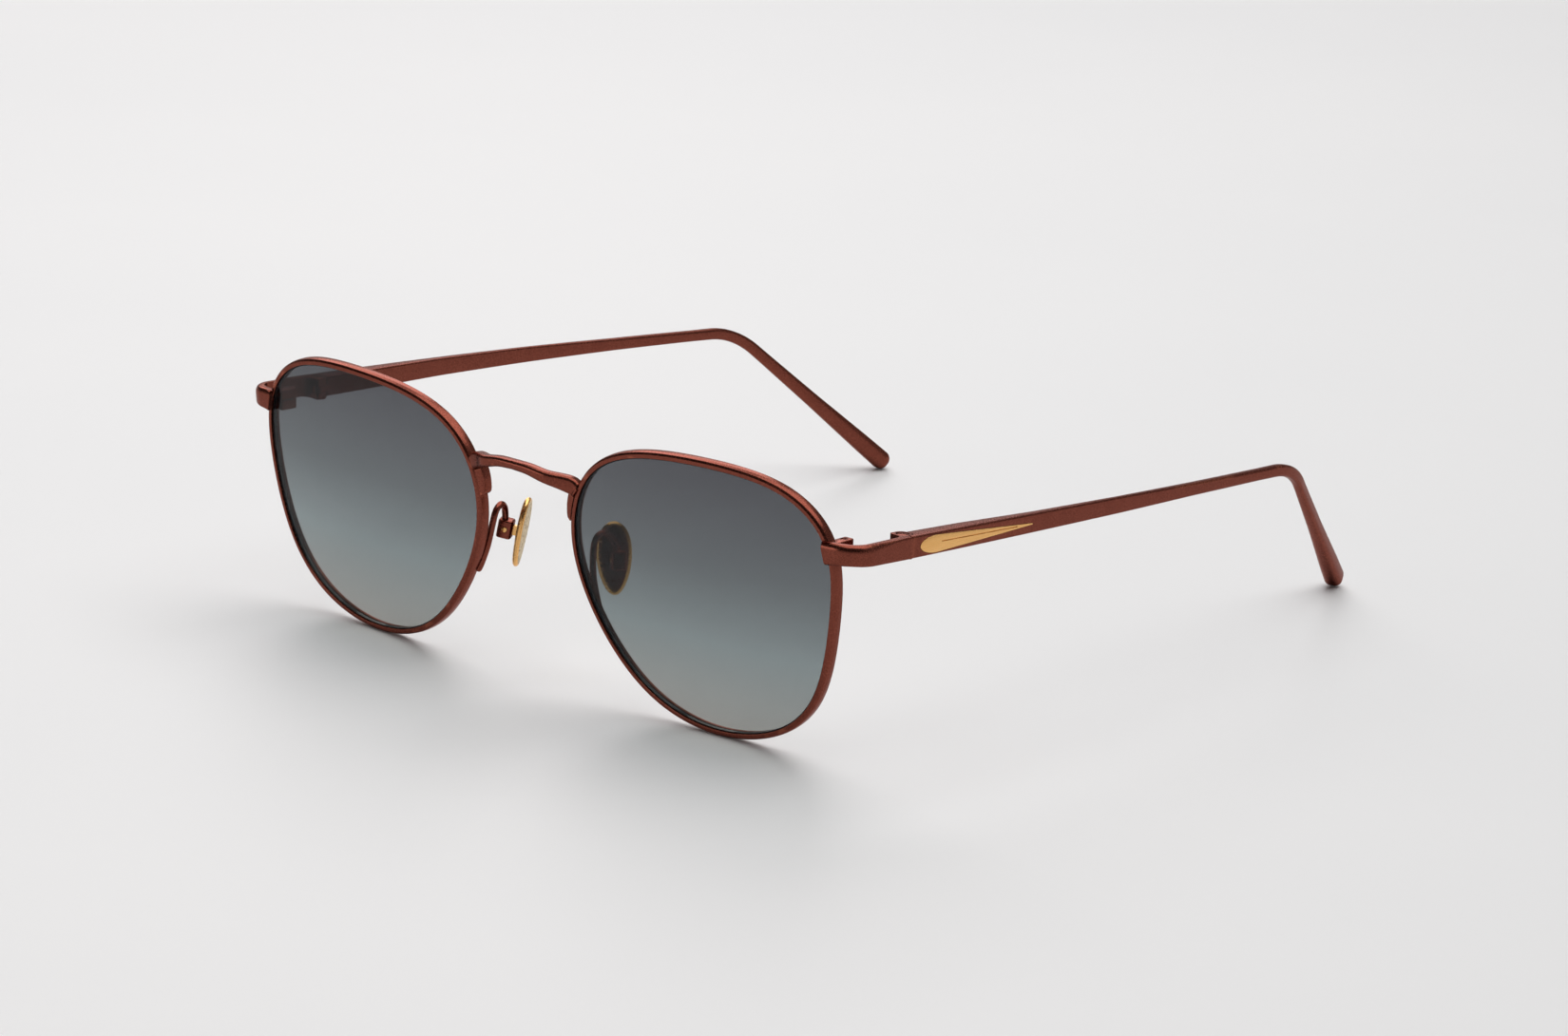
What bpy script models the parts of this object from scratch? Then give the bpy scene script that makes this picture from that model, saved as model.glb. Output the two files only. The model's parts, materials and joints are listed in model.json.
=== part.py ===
"""Full-rim metal sunglasses, modelled piece by piece.

Lengths in this file are millimetres and angles are degrees. add_solid() turns them into
metres. +X is the wearer's left, +Y runs from the front back to the ears, +Z is up and
z = 0 is the table that the rims and the temple tips rest on. Every function describes
the wearer's left half; the right half is the same shape with X negated.
"""
import math

import bmesh
import bpy
import numpy as np
from mathutils import Matrix, Vector

MM = 0.001
GAP = 0.06              # seated faces stay this far apart, and screws clear their holes by it
OVERRUN = 0.5           # a hole's cutter reaches this far past the screw's two ends
CENTRE_Y = 67.0         # the row frame's origin lies this far behind the lens centres
SIDES = {"left": 1, "right": -1}

# Lens and rim. u runs to the temple side, v up, depth backwards from the rim's front face.
LENS_CENTRE = (34.86, -0.42, 21.93)
WRAP = 3.52
TILT = 7.2
LENS_CURVE_RADIUS = 148.6
RIM_OPENING = (
    (22.7, 0.0), (22.9, 9.0), (19.5, 15.0), (12.0, 18.5), (0.5, 19.3), (-11.0, 18.2),
    (-19.3, 14.8), (-23.8, 8.6), (-24.2, 0.0), (-19.5, -10.0), (-11.0, -18.3), (0.5, -21.4),
    (12.0, -19.0), (19.5, -11.5),
)
RIM_STEPS = 64
RIM_WALL = 0.95
RIM_DEPTH = 1.75
GROOVE_DEPTH = 0.4
RIM_FACE = 0.62           # width of the flat front face
RIM_CHAMFER = 0.3         # depth of the chamfer outside it
RIM_TOOL_REACH = 1.5
# Wall section: distance out from the opening, depth behind the front face.
RIM_SECTION = (
    (0.0, 0.1), (0.12, 0.0), (RIM_FACE, 0.0), (RIM_WALL, RIM_CHAMFER),
    (RIM_WALL, RIM_DEPTH - 0.2),
    (RIM_WALL - 0.2, RIM_DEPTH), (0.15, RIM_DEPTH), (0.0, RIM_DEPTH - 0.15), (0.0, 1.35),
    (GROOVE_DEPTH, 1.1), (GROOVE_DEPTH, 0.7), (0.0, 0.45),
)
LENS_SECTION = (
    (-0.06, 0.35), (-0.06, 0.52), (0.28, 0.79), (0.28, 1.01), (-0.06, 1.28), (-0.06, 1.8),
)
LENS_RINGS = (0.55,)

# Screws: shank radius, head radius, then the heights of the shank's end, the head's
# underside and the head's top. The pad's screw is measured from the middle of its clip box.
LOCK_SCREW = (0.34, 0.52, 30.9, 33.6, 33.95)
HINGE_SCREW = (0.5, 0.95, 30.55, 33.3, 33.67)
PAD_SCREW = (0.33, 0.42, -1.05, 1.03, 1.23)
SLOT_WIDTH = 0.28
SLOT_DEPTH = 0.2

# Rim lock: the split in the rim, the two closing blocks and their screw.
SPLIT_Z = 32.35
SPLIT_GAP = 0.24
BLOCK_CENTRE = (57.55, 4.75)
BLOCK_SIZE = (1.7, 3.5)
BLOCK_BOTTOM = 30.75
BLOCK_TOP = 34.0
BLOCK_CORNER = 0.3
LOCK_SCREW_CENTRE = (57.55, 5.25)
LOCK_SLOT_WIDTH = 0.18

# End piece: plan outline of the bar that wraps from the rim's front to the hinge.
END_OUTER = ((56.75, 0.85), (63.15, 1.6), (62.8, 13.95))
END_INNER = ((56.75, 2.55), (61.75, 3.1), (61.6, 12.2))
END_OUTER_RADIUS = 4.5
END_INNER_RADIUS = 2.8
END_TOP_FRONT = 34.35
END_HEIGHT = 2.95
END_FLARE = 0.35          # extra height where the end piece meets the rim, gone by this x
END_FLARE_END = 61.5
END_GROWTH = 0.022        # extra height for each millimetre towards the hinge
END_SLANT = 0.75          # how far the end face leans outwards over its height
END_SLOPE = 0.041
END_BEVEL = 0.2

# Temple hinge: three knuckles on one vertical screw.
HINGE_AXIS = (60.55, 14.35)
KNUCKLE_RADIUS = 1.4
KNUCKLE_CLEARANCE = 0.1
KNUCKLE_SPLITS = (31.43, 32.52)
KNUCKLE_SLOT_REACH = 2.5  # from the axis to the far side of the cutters
HINGE_SLOT_TURN = 35.0
# Corners of the step in front of the end piece's barrel, from the axis.
HINGE_STEP = ((-1.4, -1.05), (-1.15, -1.3), (0.6, -1.45))

HINGE_ROOM = (28.0, 36.0) # heights that the cutter for the end piece's barrel spans

# Temple: outer face line in plan, centre line in height, bend and ear leg.
TEMPLE_START_Y = 14.15
TEMPLE_OUTER_X = (62.75, 0.0106, -0.00044)
TEMPLE_CENTRE_Z = (32.14, -0.0455, -0.000115)
TEMPLE_STRAIGHT = 89.4
BEND_RADIUS = 15.0
LEG_DOWN = 40.5
LEG_IN = 20.6
LEG_LENGTH = 34.8
TIP_ROUNDING = 1.7
TIP_LEAST = 0.3           # scale of the last section at the tip
# Distance along the temple, height, thickness, corner radius.
TEMPLE_SECTIONS = (
    (0.0, 3.25, 2.9, 0.3), (12.0, 3.1, 2.6, 0.3), (28.0, 2.85, 1.5, 0.3), (48.0, 2.5, 1.0, 0.3),
    (67.0, 2.0, 1.3, 0.4), (85.0, 1.8, 1.5, 0.5), (102.0, 2.0, 1.6, 0.6), (115.0, 2.4, 2.0, 0.8),
    (128.0, 3.1, 2.8, 1.1), (140.0, 3.5, 3.3, 1.3),
)
TEMPLE_STATIONS = 44
TIP_STATIONS = 4
LINE_STEPS = 400

# Decorative inlay in the temple's outer face.
INLAY_START = 1.6
INLAY_LENGTH = 25.0
INLAY_HALF_HEIGHT = 1.3
INLAY_NOSE = 0.14
INLAY_TAIL_HALF_HEIGHT = 0.1
INLAY_DEPTH = 0.32
INLAY_PROUD = 0.04
INLAY_STATIONS = 16

# Bridge: x, y, z and height of the bar from the middle to the rim.
BRIDGE_LINE = (
    (0.0, -2.7, 34.7, 1.4), (3.0, -2.6, 34.55, 1.55), (6.0, -2.2, 33.95, 1.85),
    (8.2, -1.1, 33.45, 2.3), (9.6, -0.5, 33.1, 2.5), (10.5, -0.2, 32.6, 2.25),
    (10.95, -0.2, 32.25, 1.9),
)
BRIDGE_DEPTH = 2.0
BRIDGE_CORNER = 0.6
BRIDGE_STEPS = 4
FOOT_RANGE = (30.75, 27.5)
FOOT_STATIONS = 6
FOOT_THICKNESS = 1.3
FOOT_TAPER = 0.45
FOOT_CORNER = 0.2
FOOT_DEPTHS = (0.1, 1.75)

# Nose pads: plate frame, clip box and the wire arm.
PAD_CENTRE = (9.65, 8.9, 20.25)
PAD_SPLAY = 32.0
PAD_LEAN = 11.5
PAD_HEIGHT = 11.0
PAD_WIDTH = 5.4
PAD_THICKNESS = 0.9
PAD_EGG = 0.16            # extra share of width at the top, missing at the bottom
PAD_FACE_INSET = 0.15
PAD_BACK_INSET = 0.45
PAD_STEPS = 28
BOX_OFFSET = 2.5
BOX_SIZE = (2.3, 2.3, 2.9)
BOX_BEVEL = 0.35
BOX_SOFT_EDGE = 0.2
BOX_SLOT = 0.9            # width, height and depth past the middle of the slot for the tab
BOX_SLOT_HEIGHT = 1.9
BOX_SLOT_DEPTH = 0.85
TAB_SINK = 0.3            # depth of the tab's root below the back of the pad
TAB_THICKNESS = 0.7
TAB_HALF_HEIGHT = 0.75
ARM_RADIUS = 0.5
ARM_LINE = ((12.7, 2.75, 14.6), (11.95, 2.9, 16.2), (11.0, 3.1, 19.0), (10.5, 3.5, 22.2),
            (10.4, 4.1, 24.2), (10.6, 5.3, 24.95), (11.05, 6.5, 24.3), (11.5, 7.2, 22.9),
            (11.75, 7.4, 21.3))
ARM_STEPS = 3

ROUND_STEPS = 20


# ---------------------------------------------------------------- curves

def closed_spline(points, steps):
    """Evenly spaced points on the smooth closed curve through the given points."""
    knots = np.array(points, float)
    count = len(knots)
    ring = 4.0 * np.eye(count) + np.roll(np.eye(count), 1, 0) + np.roll(np.eye(count), -1, 0)
    pull = 3.0 * (np.roll(knots, -1, 0) - np.roll(knots, 1, 0))
    slopes = np.linalg.solve(ring, pull)
    fine = [hermite(knots, slopes, k, (k + 1) % count, t)
            for k in range(count) for t in np.linspace(0.0, 1.0, 24, endpoint=False)]
    return even_spacing(np.array(fine + fine[:1]), steps)[:-1]


def open_spline(points, steps_per_span):
    """Points on the smooth curve that starts and ends at the given end points."""
    knots = np.array(points, float)
    slopes = np.gradient(knots, axis=0)
    curve = [hermite(knots, slopes, k, k + 1, t) for k in range(len(knots) - 1)
             for t in np.linspace(0.0, 1.0, steps_per_span, endpoint=False)]
    return np.array(curve + [knots[-1]])


def hermite(knots, slopes, first, second, t):
    rise = t * t * (3.0 - 2.0 * t)
    leave = t * (1.0 - t) ** 2
    arrive = t * t * (t - 1.0)
    ends = (1.0 - rise) * knots[first] + rise * knots[second]
    return ends + leave * slopes[first] + arrive * slopes[second]


def even_spacing(curve, steps):
    """The same curve as steps + 1 points at equal distances."""
    lengths = np.linalg.norm(np.diff(curve, axis=0), axis=1)
    along = np.concatenate([[0.0], np.cumsum(lengths)])
    wanted = np.linspace(0.0, along[-1], steps + 1)
    return np.stack([np.interp(wanted, along, column) for column in curve.T], -1)


def arc(centre, radius, start, end, steps):
    """Points of a circular arc in plan, both ends included."""
    angles = np.radians(np.linspace(start, end, steps + 1))
    return [(centre[0] + radius * math.cos(a), centre[1] + radius * math.sin(a)) for a in angles]


def filleted_corner(points, radius, steps):
    """A plan line of three points whose middle corner is rounded."""
    start, corner, end = (Vector(p) for p in points)
    towards_start = (start - corner).normalized()
    towards_end = (end - corner).normalized()
    half = towards_start.angle(towards_end) / 2.0
    middle = (towards_start + towards_end).normalized()
    centre = corner + middle * (radius / math.sin(half))
    first = corner + towards_start * (radius / math.tan(half)) - centre
    last = corner + towards_end * (radius / math.tan(half)) - centre
    turn = first.angle_signed(last)
    rounded = [centre + Matrix.Rotation(-turn * k / steps, 2) @ first for k in range(steps + 1)]
    return [tuple(start)] + [tuple(p) for p in rounded] + [tuple(end)]


def rounded_rectangle(width, height, radius, steps):
    """Counter-clockwise outline centred on zero."""
    outline = []
    for turn, (sign_a, sign_b) in enumerate(((1, 1), (-1, 1), (-1, -1), (1, -1))):
        centre = (sign_a * (width / 2 - radius), sign_b * (height / 2 - radius))
        outline += arc(centre, radius, 90 * turn, 90 * turn + 90, steps)
    return outline


# ---------------------------------------------------------------- solids

def ring_solid(rings, closed=False):
    """A solid skin over successive rings of equal point count, capped unless closed."""
    bm = bmesh.new()
    loops = [[bm.verts.new(p) for p in ring] for ring in rings]
    pairs = list(zip(loops, loops[1:]))
    if closed:
        pairs.append((loops[-1], loops[0]))
    else:
        bm.faces.new(loops[0])
        bm.faces.new(loops[-1])
    for near, far in pairs:
        for k in range(len(near)):
            m = (k + 1) % len(near)
            bm.faces.new((near[k], near[m], far[m], far[k]))
    return bm


def prism(outline, bottom, top):
    """A plan outline extruded from one height to another."""
    return ring_solid([[(x, y, z) for x, y in outline] for z in (bottom, top)])


def turned(profile, steps=ROUND_STEPS):
    """A round solid about Z from (radius, height) points, both ends on flat caps."""
    return ring_solid([[(x, y, z) for x, y in arc((0, 0), r, 0, 360, steps)[:-1]]
                       for r, z in profile])


def moved(bm, placement):
    bmesh.ops.transform(bm, matrix=placement, verts=bm.verts)
    return bm


def upright(centre):
    """Placement that stands a solid made about Z on a plan position."""
    return Matrix.Translation((*centre, 0.0))


def plate_frame(splay, lean):
    """Axes of a nose pad: x from the nose outwards, y from front to back, z up the pad."""
    across = Vector((math.sin(math.radians(splay)), math.cos(math.radians(splay)), 0.0))
    up = Vector((-math.sin(math.radians(lean)), 0.0, math.cos(math.radians(lean))))
    out = across.cross(up).normalized()
    up = out.cross(across)
    return Matrix((out, across, up)).transposed()


# ---------------------------------------------------------------- scene objects

MATERIALS = {
    "copper_metal": ((0.20, 0.062, 0.042), 0.34, 1.0),
    "gold_metal": ((0.83, 0.56, 0.24), 0.25, 1.0),
    "tinted_lens": ((0.10, 0.12, 0.13), 0.05, 0.0),
}


def material(name):
    found = bpy.data.materials.get(name)
    if found:
        return found
    colour, roughness, metallic = MATERIALS[name]
    made = bpy.data.materials.new(name)
    made.use_nodes = True
    made.diffuse_color = (*colour, 1.0)
    shader = made.node_tree.nodes["Principled BSDF"]
    shader.inputs["Base Color"].default_value = (*colour, 1.0)
    shader.inputs["Roughness"].default_value = roughness
    shader.inputs["Metallic"].default_value = metallic
    return made


def clear_scene():
    for item in list(bpy.data.objects):
        bpy.data.objects.remove(item, do_unlink=True)


def add_datum():
    """The empty that every piece hangs on, at the lens centres' place in the row frame."""
    datum = bpy.data.objects.new("lens_datum", None)
    datum.location = (0.0, -CENTRE_Y * MM, 0.0)
    bpy.context.collection.objects.link(datum)
    return datum


def add_solid(name, bm, slot, side, datum, origin=(0.0, 0.0, 0.0)):
    """Turns a left-hand solid in millimetres into a named object in metres."""
    mirror = Matrix.Diagonal((side, 1.0, 1.0, 1.0))
    place = mirror @ Vector((*origin, 1.0))
    bm.transform(Matrix.Scale(MM, 4) @ Matrix.Translation(-place.xyz) @ mirror)
    bmesh.ops.recalc_face_normals(bm, faces=bm.faces)
    if bm.calc_volume(signed=True) < 0.0:
        bmesh.ops.reverse_faces(bm, faces=bm.faces)
    mesh = bpy.data.meshes.new(name)
    bm.to_mesh(mesh)
    bm.free()
    item = bpy.data.objects.new(name, mesh)
    item.location = place.xyz * MM
    item.parent = datum
    mesh.shade_smooth()
    mesh.set_sharp_from_angle(angle=math.radians(35.0))
    if slot:
        mesh.materials.append(material(slot))
    bpy.context.collection.objects.link(item)
    return item


def add_tool(name, bm, side, datum):
    """A hidden solid that cuts or extends other objects."""
    tool = add_solid(name, bm, None, side, datum)
    tool.hide_render = True
    tool.display_type = "WIRE"
    return tool


def combine(item, tool, operation="DIFFERENCE"):
    step = item.modifiers.new(tool.name, "BOOLEAN")
    step.operation = operation
    step.solver = "EXACT"
    step.object = tool


def soften(item, width):
    step = item.modifiers.new("edge_bevel", "BEVEL")
    step.width = width * MM
    step.segments = 1
    step.limit_method = "ANGLE"
    step.angle_limit = math.radians(50.0)


# ---------------------------------------------------------------- rim and lens

def lens_point(u, v, depth):
    """A point on the curved, wrapped and tilted lens shape."""
    wrap, tilt = math.radians(WRAP), math.radians(TILT)
    back = (u * u + v * v) / (2.0 * LENS_CURVE_RADIUS) + depth
    y = back * math.cos(tilt) - v * math.sin(tilt)
    z = v * math.cos(tilt) + back * math.sin(tilt)
    return Vector((LENS_CENTRE[0] + u * math.cos(wrap) - y * math.sin(wrap),
                   LENS_CENTRE[1] + u * math.sin(wrap) + y * math.cos(wrap),
                   LENS_CENTRE[2] + z))


def rim_curve(steps=RIM_STEPS):
    """Points of the rim opening and their outward directions, anticlockwise from u max."""
    points = closed_spline(RIM_OPENING, steps)
    along = np.roll(points, -1, 0) - np.roll(points, 1, 0)
    outward = np.stack([along[:, 1], -along[:, 0]], -1)
    return points, outward / np.linalg.norm(outward, axis=1)[:, None]


def rim_rings(section, steps=RIM_STEPS):
    """The section carried once round the rim."""
    points, outward = rim_curve(steps)
    return [[lens_point(*(p + out * n), depth) for out, depth in section]
            for p, n in zip(points, outward)]


def split_index(rings):
    """The ring at the rim lock: the temple-side one nearest the split height."""
    temple_side = range(len(rings) // 4)
    return min(temple_side, key=lambda k: abs(rings[k][0].z - SPLIT_Z))


def make_rim(side, datum, name):
    rings = rim_rings(RIM_SECTION)
    split = split_index(rings)
    rings = rings[split:] + rings[:split + 1]
    for end, step in ((0, 1), (-1, -2)):
        run = (rings[step][0] - rings[end][0]).length
        share = SPLIT_GAP / 2 / run
        rings[end] = [a.lerp(b, share) for a, b in zip(rings[end], rings[step])]
    return add_solid(name, ring_solid(rings), "copper_metal", side, datum)


def make_rim_tool(side, datum, name):
    """The rim's outer envelope with the seating gap, for fitting pieces against it."""
    wall = RIM_WALL + GAP
    section = ((-RIM_TOOL_REACH, -GAP), (RIM_FACE, -GAP), (wall, RIM_CHAMFER - GAP),
               (wall, RIM_DEPTH + GAP), (-RIM_TOOL_REACH, RIM_DEPTH + GAP))
    return add_tool(name, ring_solid(rim_rings(section), closed=True), side, datum)


def make_lens(side, datum, name):
    points, outward = rim_curve()
    edge = [[lens_point(*(p + n * out), depth) for p, n in zip(points, outward)]
            for out, depth in LENS_SECTION]
    front, back = LENS_SECTION[0][1], LENS_SECTION[-1][1]
    face = [[lens_point(*(p * share), front) for p in points] for share in LENS_RINGS[::-1]]
    rear = [[lens_point(*(p * share), back) for p in points] for share in LENS_RINGS]
    bm = ring_solid(face + edge + rear)
    bmesh.ops.poke(bm, faces=[f for f in bm.faces if len(f.verts) > 4])
    return add_solid(name, bm, "tinted_lens", side, datum)


# ---------------------------------------------------------------- screws

def screw_solid(screw):
    shank, head, low, seat, high = screw
    return turned(((shank, low), (shank, seat), (head, seat), (head, high)))


def screw_hole(screw):
    """The room a screw needs, open at both ends."""
    shank, head, low, seat, high = screw
    return screw_solid((shank + GAP, head + GAP, low - OVERRUN, seat - GAP, high + OVERRUN))


def make_screw(name, screw, place, slot_width, side, datum):
    """A copper screw with a driver slot across its head."""
    item = add_solid(name, moved(screw_solid(screw), place), "copper_metal", side, datum)
    head, high = screw[1], screw[4]
    slot = rounded_rectangle(2.6 * head, slot_width, slot_width * 0.1, 1)
    slot = moved(prism(slot, high - SLOT_DEPTH, high + OVERRUN), place)
    combine(item, add_tool(f"{name}_slot", slot, side, datum))


# ---------------------------------------------------------------- rim lock

def make_closing_block(side, datum, name, bottom, top, rim_tool, screw_tool):
    outline = [(BLOCK_CENTRE[0] + x, BLOCK_CENTRE[1] + y)
               for x, y in rounded_rectangle(*BLOCK_SIZE, BLOCK_CORNER, 2)]
    block = add_solid(name, prism(outline, bottom, top), "copper_metal", side, datum)
    combine(block, rim_tool)
    combine(block, screw_tool)
    return block


def make_rim_lock(side, datum, label, rim_tool):
    place = upright(LOCK_SCREW_CENTRE)
    hole = add_tool(f"lock_hole_{label}", moved(screw_hole(LOCK_SCREW), place), side, datum)
    make_closing_block(side, datum, f"closing_block_upper_{label}",
                       SPLIT_Z + SPLIT_GAP / 2, BLOCK_TOP, rim_tool, hole)
    make_closing_block(side, datum, f"closing_block_lower_{label}",
                       BLOCK_BOTTOM, SPLIT_Z - SPLIT_GAP / 2, rim_tool, hole)
    make_screw(f"closing_block_screw_{label}", LOCK_SCREW, place, LOCK_SLOT_WIDTH, side, datum)


# ---------------------------------------------------------------- end piece and hinge

def end_top(y):
    return END_TOP_FRONT - END_SLOPE * y


def end_height(x, y):
    flare = (END_FLARE_END - x) / (END_FLARE_END - END_OUTER[0][0])
    return END_HEIGHT + END_FLARE * max(0.0, flare) + END_GROWTH * y


def end_piece_outline():
    """Plan outline: outer line, butt face, hinge barrel, inner line."""
    outer = filleted_corner(END_OUTER, END_OUTER_RADIUS, 8)
    barrel = arc(HINGE_AXIS, KNUCKLE_RADIUS, -16.0, 184.0, 14)
    step = [(HINGE_AXIS[0] + x, HINGE_AXIS[1] + y) for x, y in HINGE_STEP]
    inner = filleted_corner(END_INNER, END_INNER_RADIUS, 6)
    return outer + barrel + step + inner[::-1]


def lean_with_lens(point):
    """Tilts the front of the end piece like the lens, fading out towards the hinge."""
    x, y, z = point
    share = min(1.0, max(0.0, (HINGE_AXIS[1] - 2.0 - y) / (HINGE_AXIS[1] - 5.0)))
    middle = end_top(y) - END_HEIGHT / 2
    return (x, y + (middle - z) * math.tan(math.radians(TILT)) * share, z)


def end_ring(share):
    """The plan outline at a share of the way down from the top face."""
    ring = []
    for x, y in end_piece_outline():
        slant = END_SLANT * share if x <= END_OUTER[0][0] else 0.0
        ring.append(lean_with_lens((x + slant, y, end_top(y) - share * end_height(x, y))))
    return ring


def make_end_piece(side, datum, label, rim_tool, hinge_hole):
    bm = ring_solid([end_ring(1.0), end_ring(0.0)])
    piece = add_solid(f"end_piece_{label}", bm, "copper_metal", side, datum)
    soften(piece, END_BEVEL)
    reach = KNUCKLE_RADIUS + KNUCKLE_CLEARANCE
    far = KNUCKLE_SLOT_REACH
    notch = [(-far, far), (-far, -reach)] + arc((0, 0), reach, -90, 0, 8) + [(reach, far)]
    tool = moved(prism(notch, *KNUCKLE_SPLITS), upright(HINGE_AXIS))
    combine(piece, add_tool(f"knuckle_notch_{label}", tool, side, datum))
    combine(piece, rim_tool)
    combine(piece, hinge_hole)


# ---------------------------------------------------------------- temple

def quadratic(coefficients, d):
    start, slope, bow = coefficients
    return start + slope * d + bow * d * d


def temple_size(distance):
    """Height, thickness and corner radius of the temple at a distance along it."""
    stops = [row[0] for row in TEMPLE_SECTIONS]
    return [float(np.interp(distance, stops, [row[k] for row in TEMPLE_SECTIONS]))
            for k in (1, 2, 3)]


def temple_line():
    """Centre line: a bowed straight, a round bend and a straight ear leg."""
    line = []
    for d in np.linspace(0.0, TEMPLE_STRAIGHT, 120):
        line.append(np.array((quadratic(TEMPLE_OUTER_X, d) - temple_size(d)[1] / 2,
                              TEMPLE_START_Y + d, quadratic(TEMPLE_CENTRE_Z, d))))
    before = line[-1] - line[-8]
    before /= np.linalg.norm(before)
    down, inward = math.radians(LEG_DOWN), math.radians(LEG_IN)
    after = np.array((-math.sin(inward) * math.cos(down), math.cos(inward) * math.cos(down),
                      -math.sin(down)))
    angle = math.acos(before @ after)
    normal = after - before * (before @ after)
    normal /= np.linalg.norm(normal)
    start = line[-1]
    for a in np.linspace(0.0, angle, 25)[1:]:
        line.append(start + BEND_RADIUS * (math.sin(a) * before + (1 - math.cos(a)) * normal))
    start = line[-1]
    line += [start + after * d for d in np.linspace(0.0, LEG_LENGTH, 40)[1:]]
    return np.array(line)


def temple_stations():
    """Centre, outward, up, distance and section scale at stations along the temple."""
    line = even_spacing(temple_line(), LINE_STEPS)
    length = float(np.linalg.norm(np.diff(line, axis=0), axis=1).sum())
    slopes = np.gradient(line, axis=0)
    plain = np.linspace(0.0, length - TIP_ROUNDING, TEMPLE_STATIONS)
    turn = np.linspace(0.0, 0.5 * math.pi, TIP_STATIONS + 1)[1:]
    tip = length - TIP_ROUNDING * (1.0 - np.sin(turn))
    scales = [1.0] * len(plain) + [max(TIP_LEAST, math.cos(a)) for a in turn]
    stations = []
    for distance, scale in zip(np.concatenate([plain, tip]), scales):
        k = distance / length * LINE_STEPS
        at = [np.interp(k, range(LINE_STEPS + 1), column) for column in line.T]
        slope = [np.interp(k, range(LINE_STEPS + 1), column) for column in slopes.T]
        along = Vector(slope).normalized()
        outward = along.cross(Vector((0.0, 0.0, 1.0))).normalized()
        stations.append((Vector(at), outward, outward.cross(along), distance, scale))
    return stations


def temple_rings():
    rings = []
    for centre, outward, up, distance, scale in temple_stations():
        height, thickness, corner = temple_size(distance)
        section = rounded_rectangle(thickness * scale, height * scale,
                                    min(corner, thickness * 0.42) * scale, 2)
        rings.append([centre + outward * a + up * b for a, b in section])
    return rings


def hinge_clearance_outline():
    """Plan area, about the hinge axis, that the temple leaves to the end piece."""
    reach = KNUCKLE_RADIUS + KNUCKLE_CLEARANCE
    return [(-3.0, reach), (-3.0, -2.0), (reach, -2.0)] + arc((0, 0), reach, 0, 90, 8)


def temple_knuckle_outline():
    barrel = arc((0, 0), KNUCKLE_RADIUS, 165, 360, 14)
    return barrel + [(KNUCKLE_RADIUS, 2.1), (-0.6, 2.1)]


def make_temple(side, datum, label, hinge_hole):
    low, high = KNUCKLE_SPLITS
    origin = (*HINGE_AXIS, (low + high) / 2)
    temple = add_solid(f"temple_{label}", ring_solid(temple_rings()), "copper_metal", side,
                       datum, origin)
    room = moved(prism(hinge_clearance_outline(), *HINGE_ROOM), upright(HINGE_AXIS))
    combine(temple, add_tool(f"hinge_room_{label}", room, side, datum))
    knuckle = moved(prism(temple_knuckle_outline(), low + GAP, high - GAP), upright(HINGE_AXIS))
    combine(temple, add_tool(f"temple_knuckle_{label}", knuckle, side, datum), "UNION")
    combine(temple, hinge_hole)
    combine(temple, add_tool(f"inlay_pocket_{label}", inlay_solid(GAP), side, datum))
    inlay = add_solid(f"temple_inlay_{label}", inlay_solid(0.0), "gold_metal", side, datum,
                      origin)
    return temple, inlay


def inlay_half_height(share):
    """Round at the front, a long straight taper to the back."""
    if share < INLAY_NOSE:
        left = 1.0 - share / INLAY_NOSE
        return INLAY_HALF_HEIGHT * math.sqrt(max(0.04, 1.0 - left * left))
    taper = (share - INLAY_NOSE) / (1.0 - INLAY_NOSE)
    return INLAY_HALF_HEIGHT + (INLAY_TAIL_HALF_HEIGHT - INLAY_HALF_HEIGHT) * taper


def inlay_solid(gap):
    """A thin plate let into the temple's outer face; gap grows it into its pocket."""
    rings = []
    for k in range(INLAY_STATIONS + 1):
        share = (k / INLAY_STATIONS) ** 1.5
        d = INLAY_START + share * INLAY_LENGTH
        if k in (0, INLAY_STATIONS):
            d += gap if k else -gap
        half = inlay_half_height(share) + gap
        face_x = quadratic(TEMPLE_OUTER_X, d)
        z = quadratic(TEMPLE_CENTRE_Z, d)
        inner = face_x - INLAY_DEPTH - gap
        outer = face_x + (1.0 if gap else INLAY_PROUD)
        y = TEMPLE_START_Y + d
        rings.append([(inner, y, z - half), (outer, y, z - half), (outer, y, z + half),
                      (inner, y, z + half)])
    return ring_solid(rings)


# ---------------------------------------------------------------- bridge

def make_bridge(datum, rim_tools):
    half = open_spline(BRIDGE_LINE, BRIDGE_STEPS)
    line = np.concatenate([half[:0:-1] * (-1, 1, 1, 1), half])
    slopes = np.gradient(line[:, :3], axis=0)
    rings = []
    for (*centre, height), slope in zip(line, slopes):
        section = rounded_rectangle(BRIDGE_DEPTH, height, BRIDGE_CORNER, 2)
        along = Vector(slope).normalized()
        backward = Vector((0.0, 0.0, 1.0)).cross(along).normalized()
        up = along.cross(backward)
        rings.append([Vector(centre) + backward * a + up * b for a, b in section])
    bridge = add_solid("bridge", ring_solid(rings), "copper_metal", 1, datum)
    for tool in rim_tools:
        combine(bridge, tool)


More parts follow.
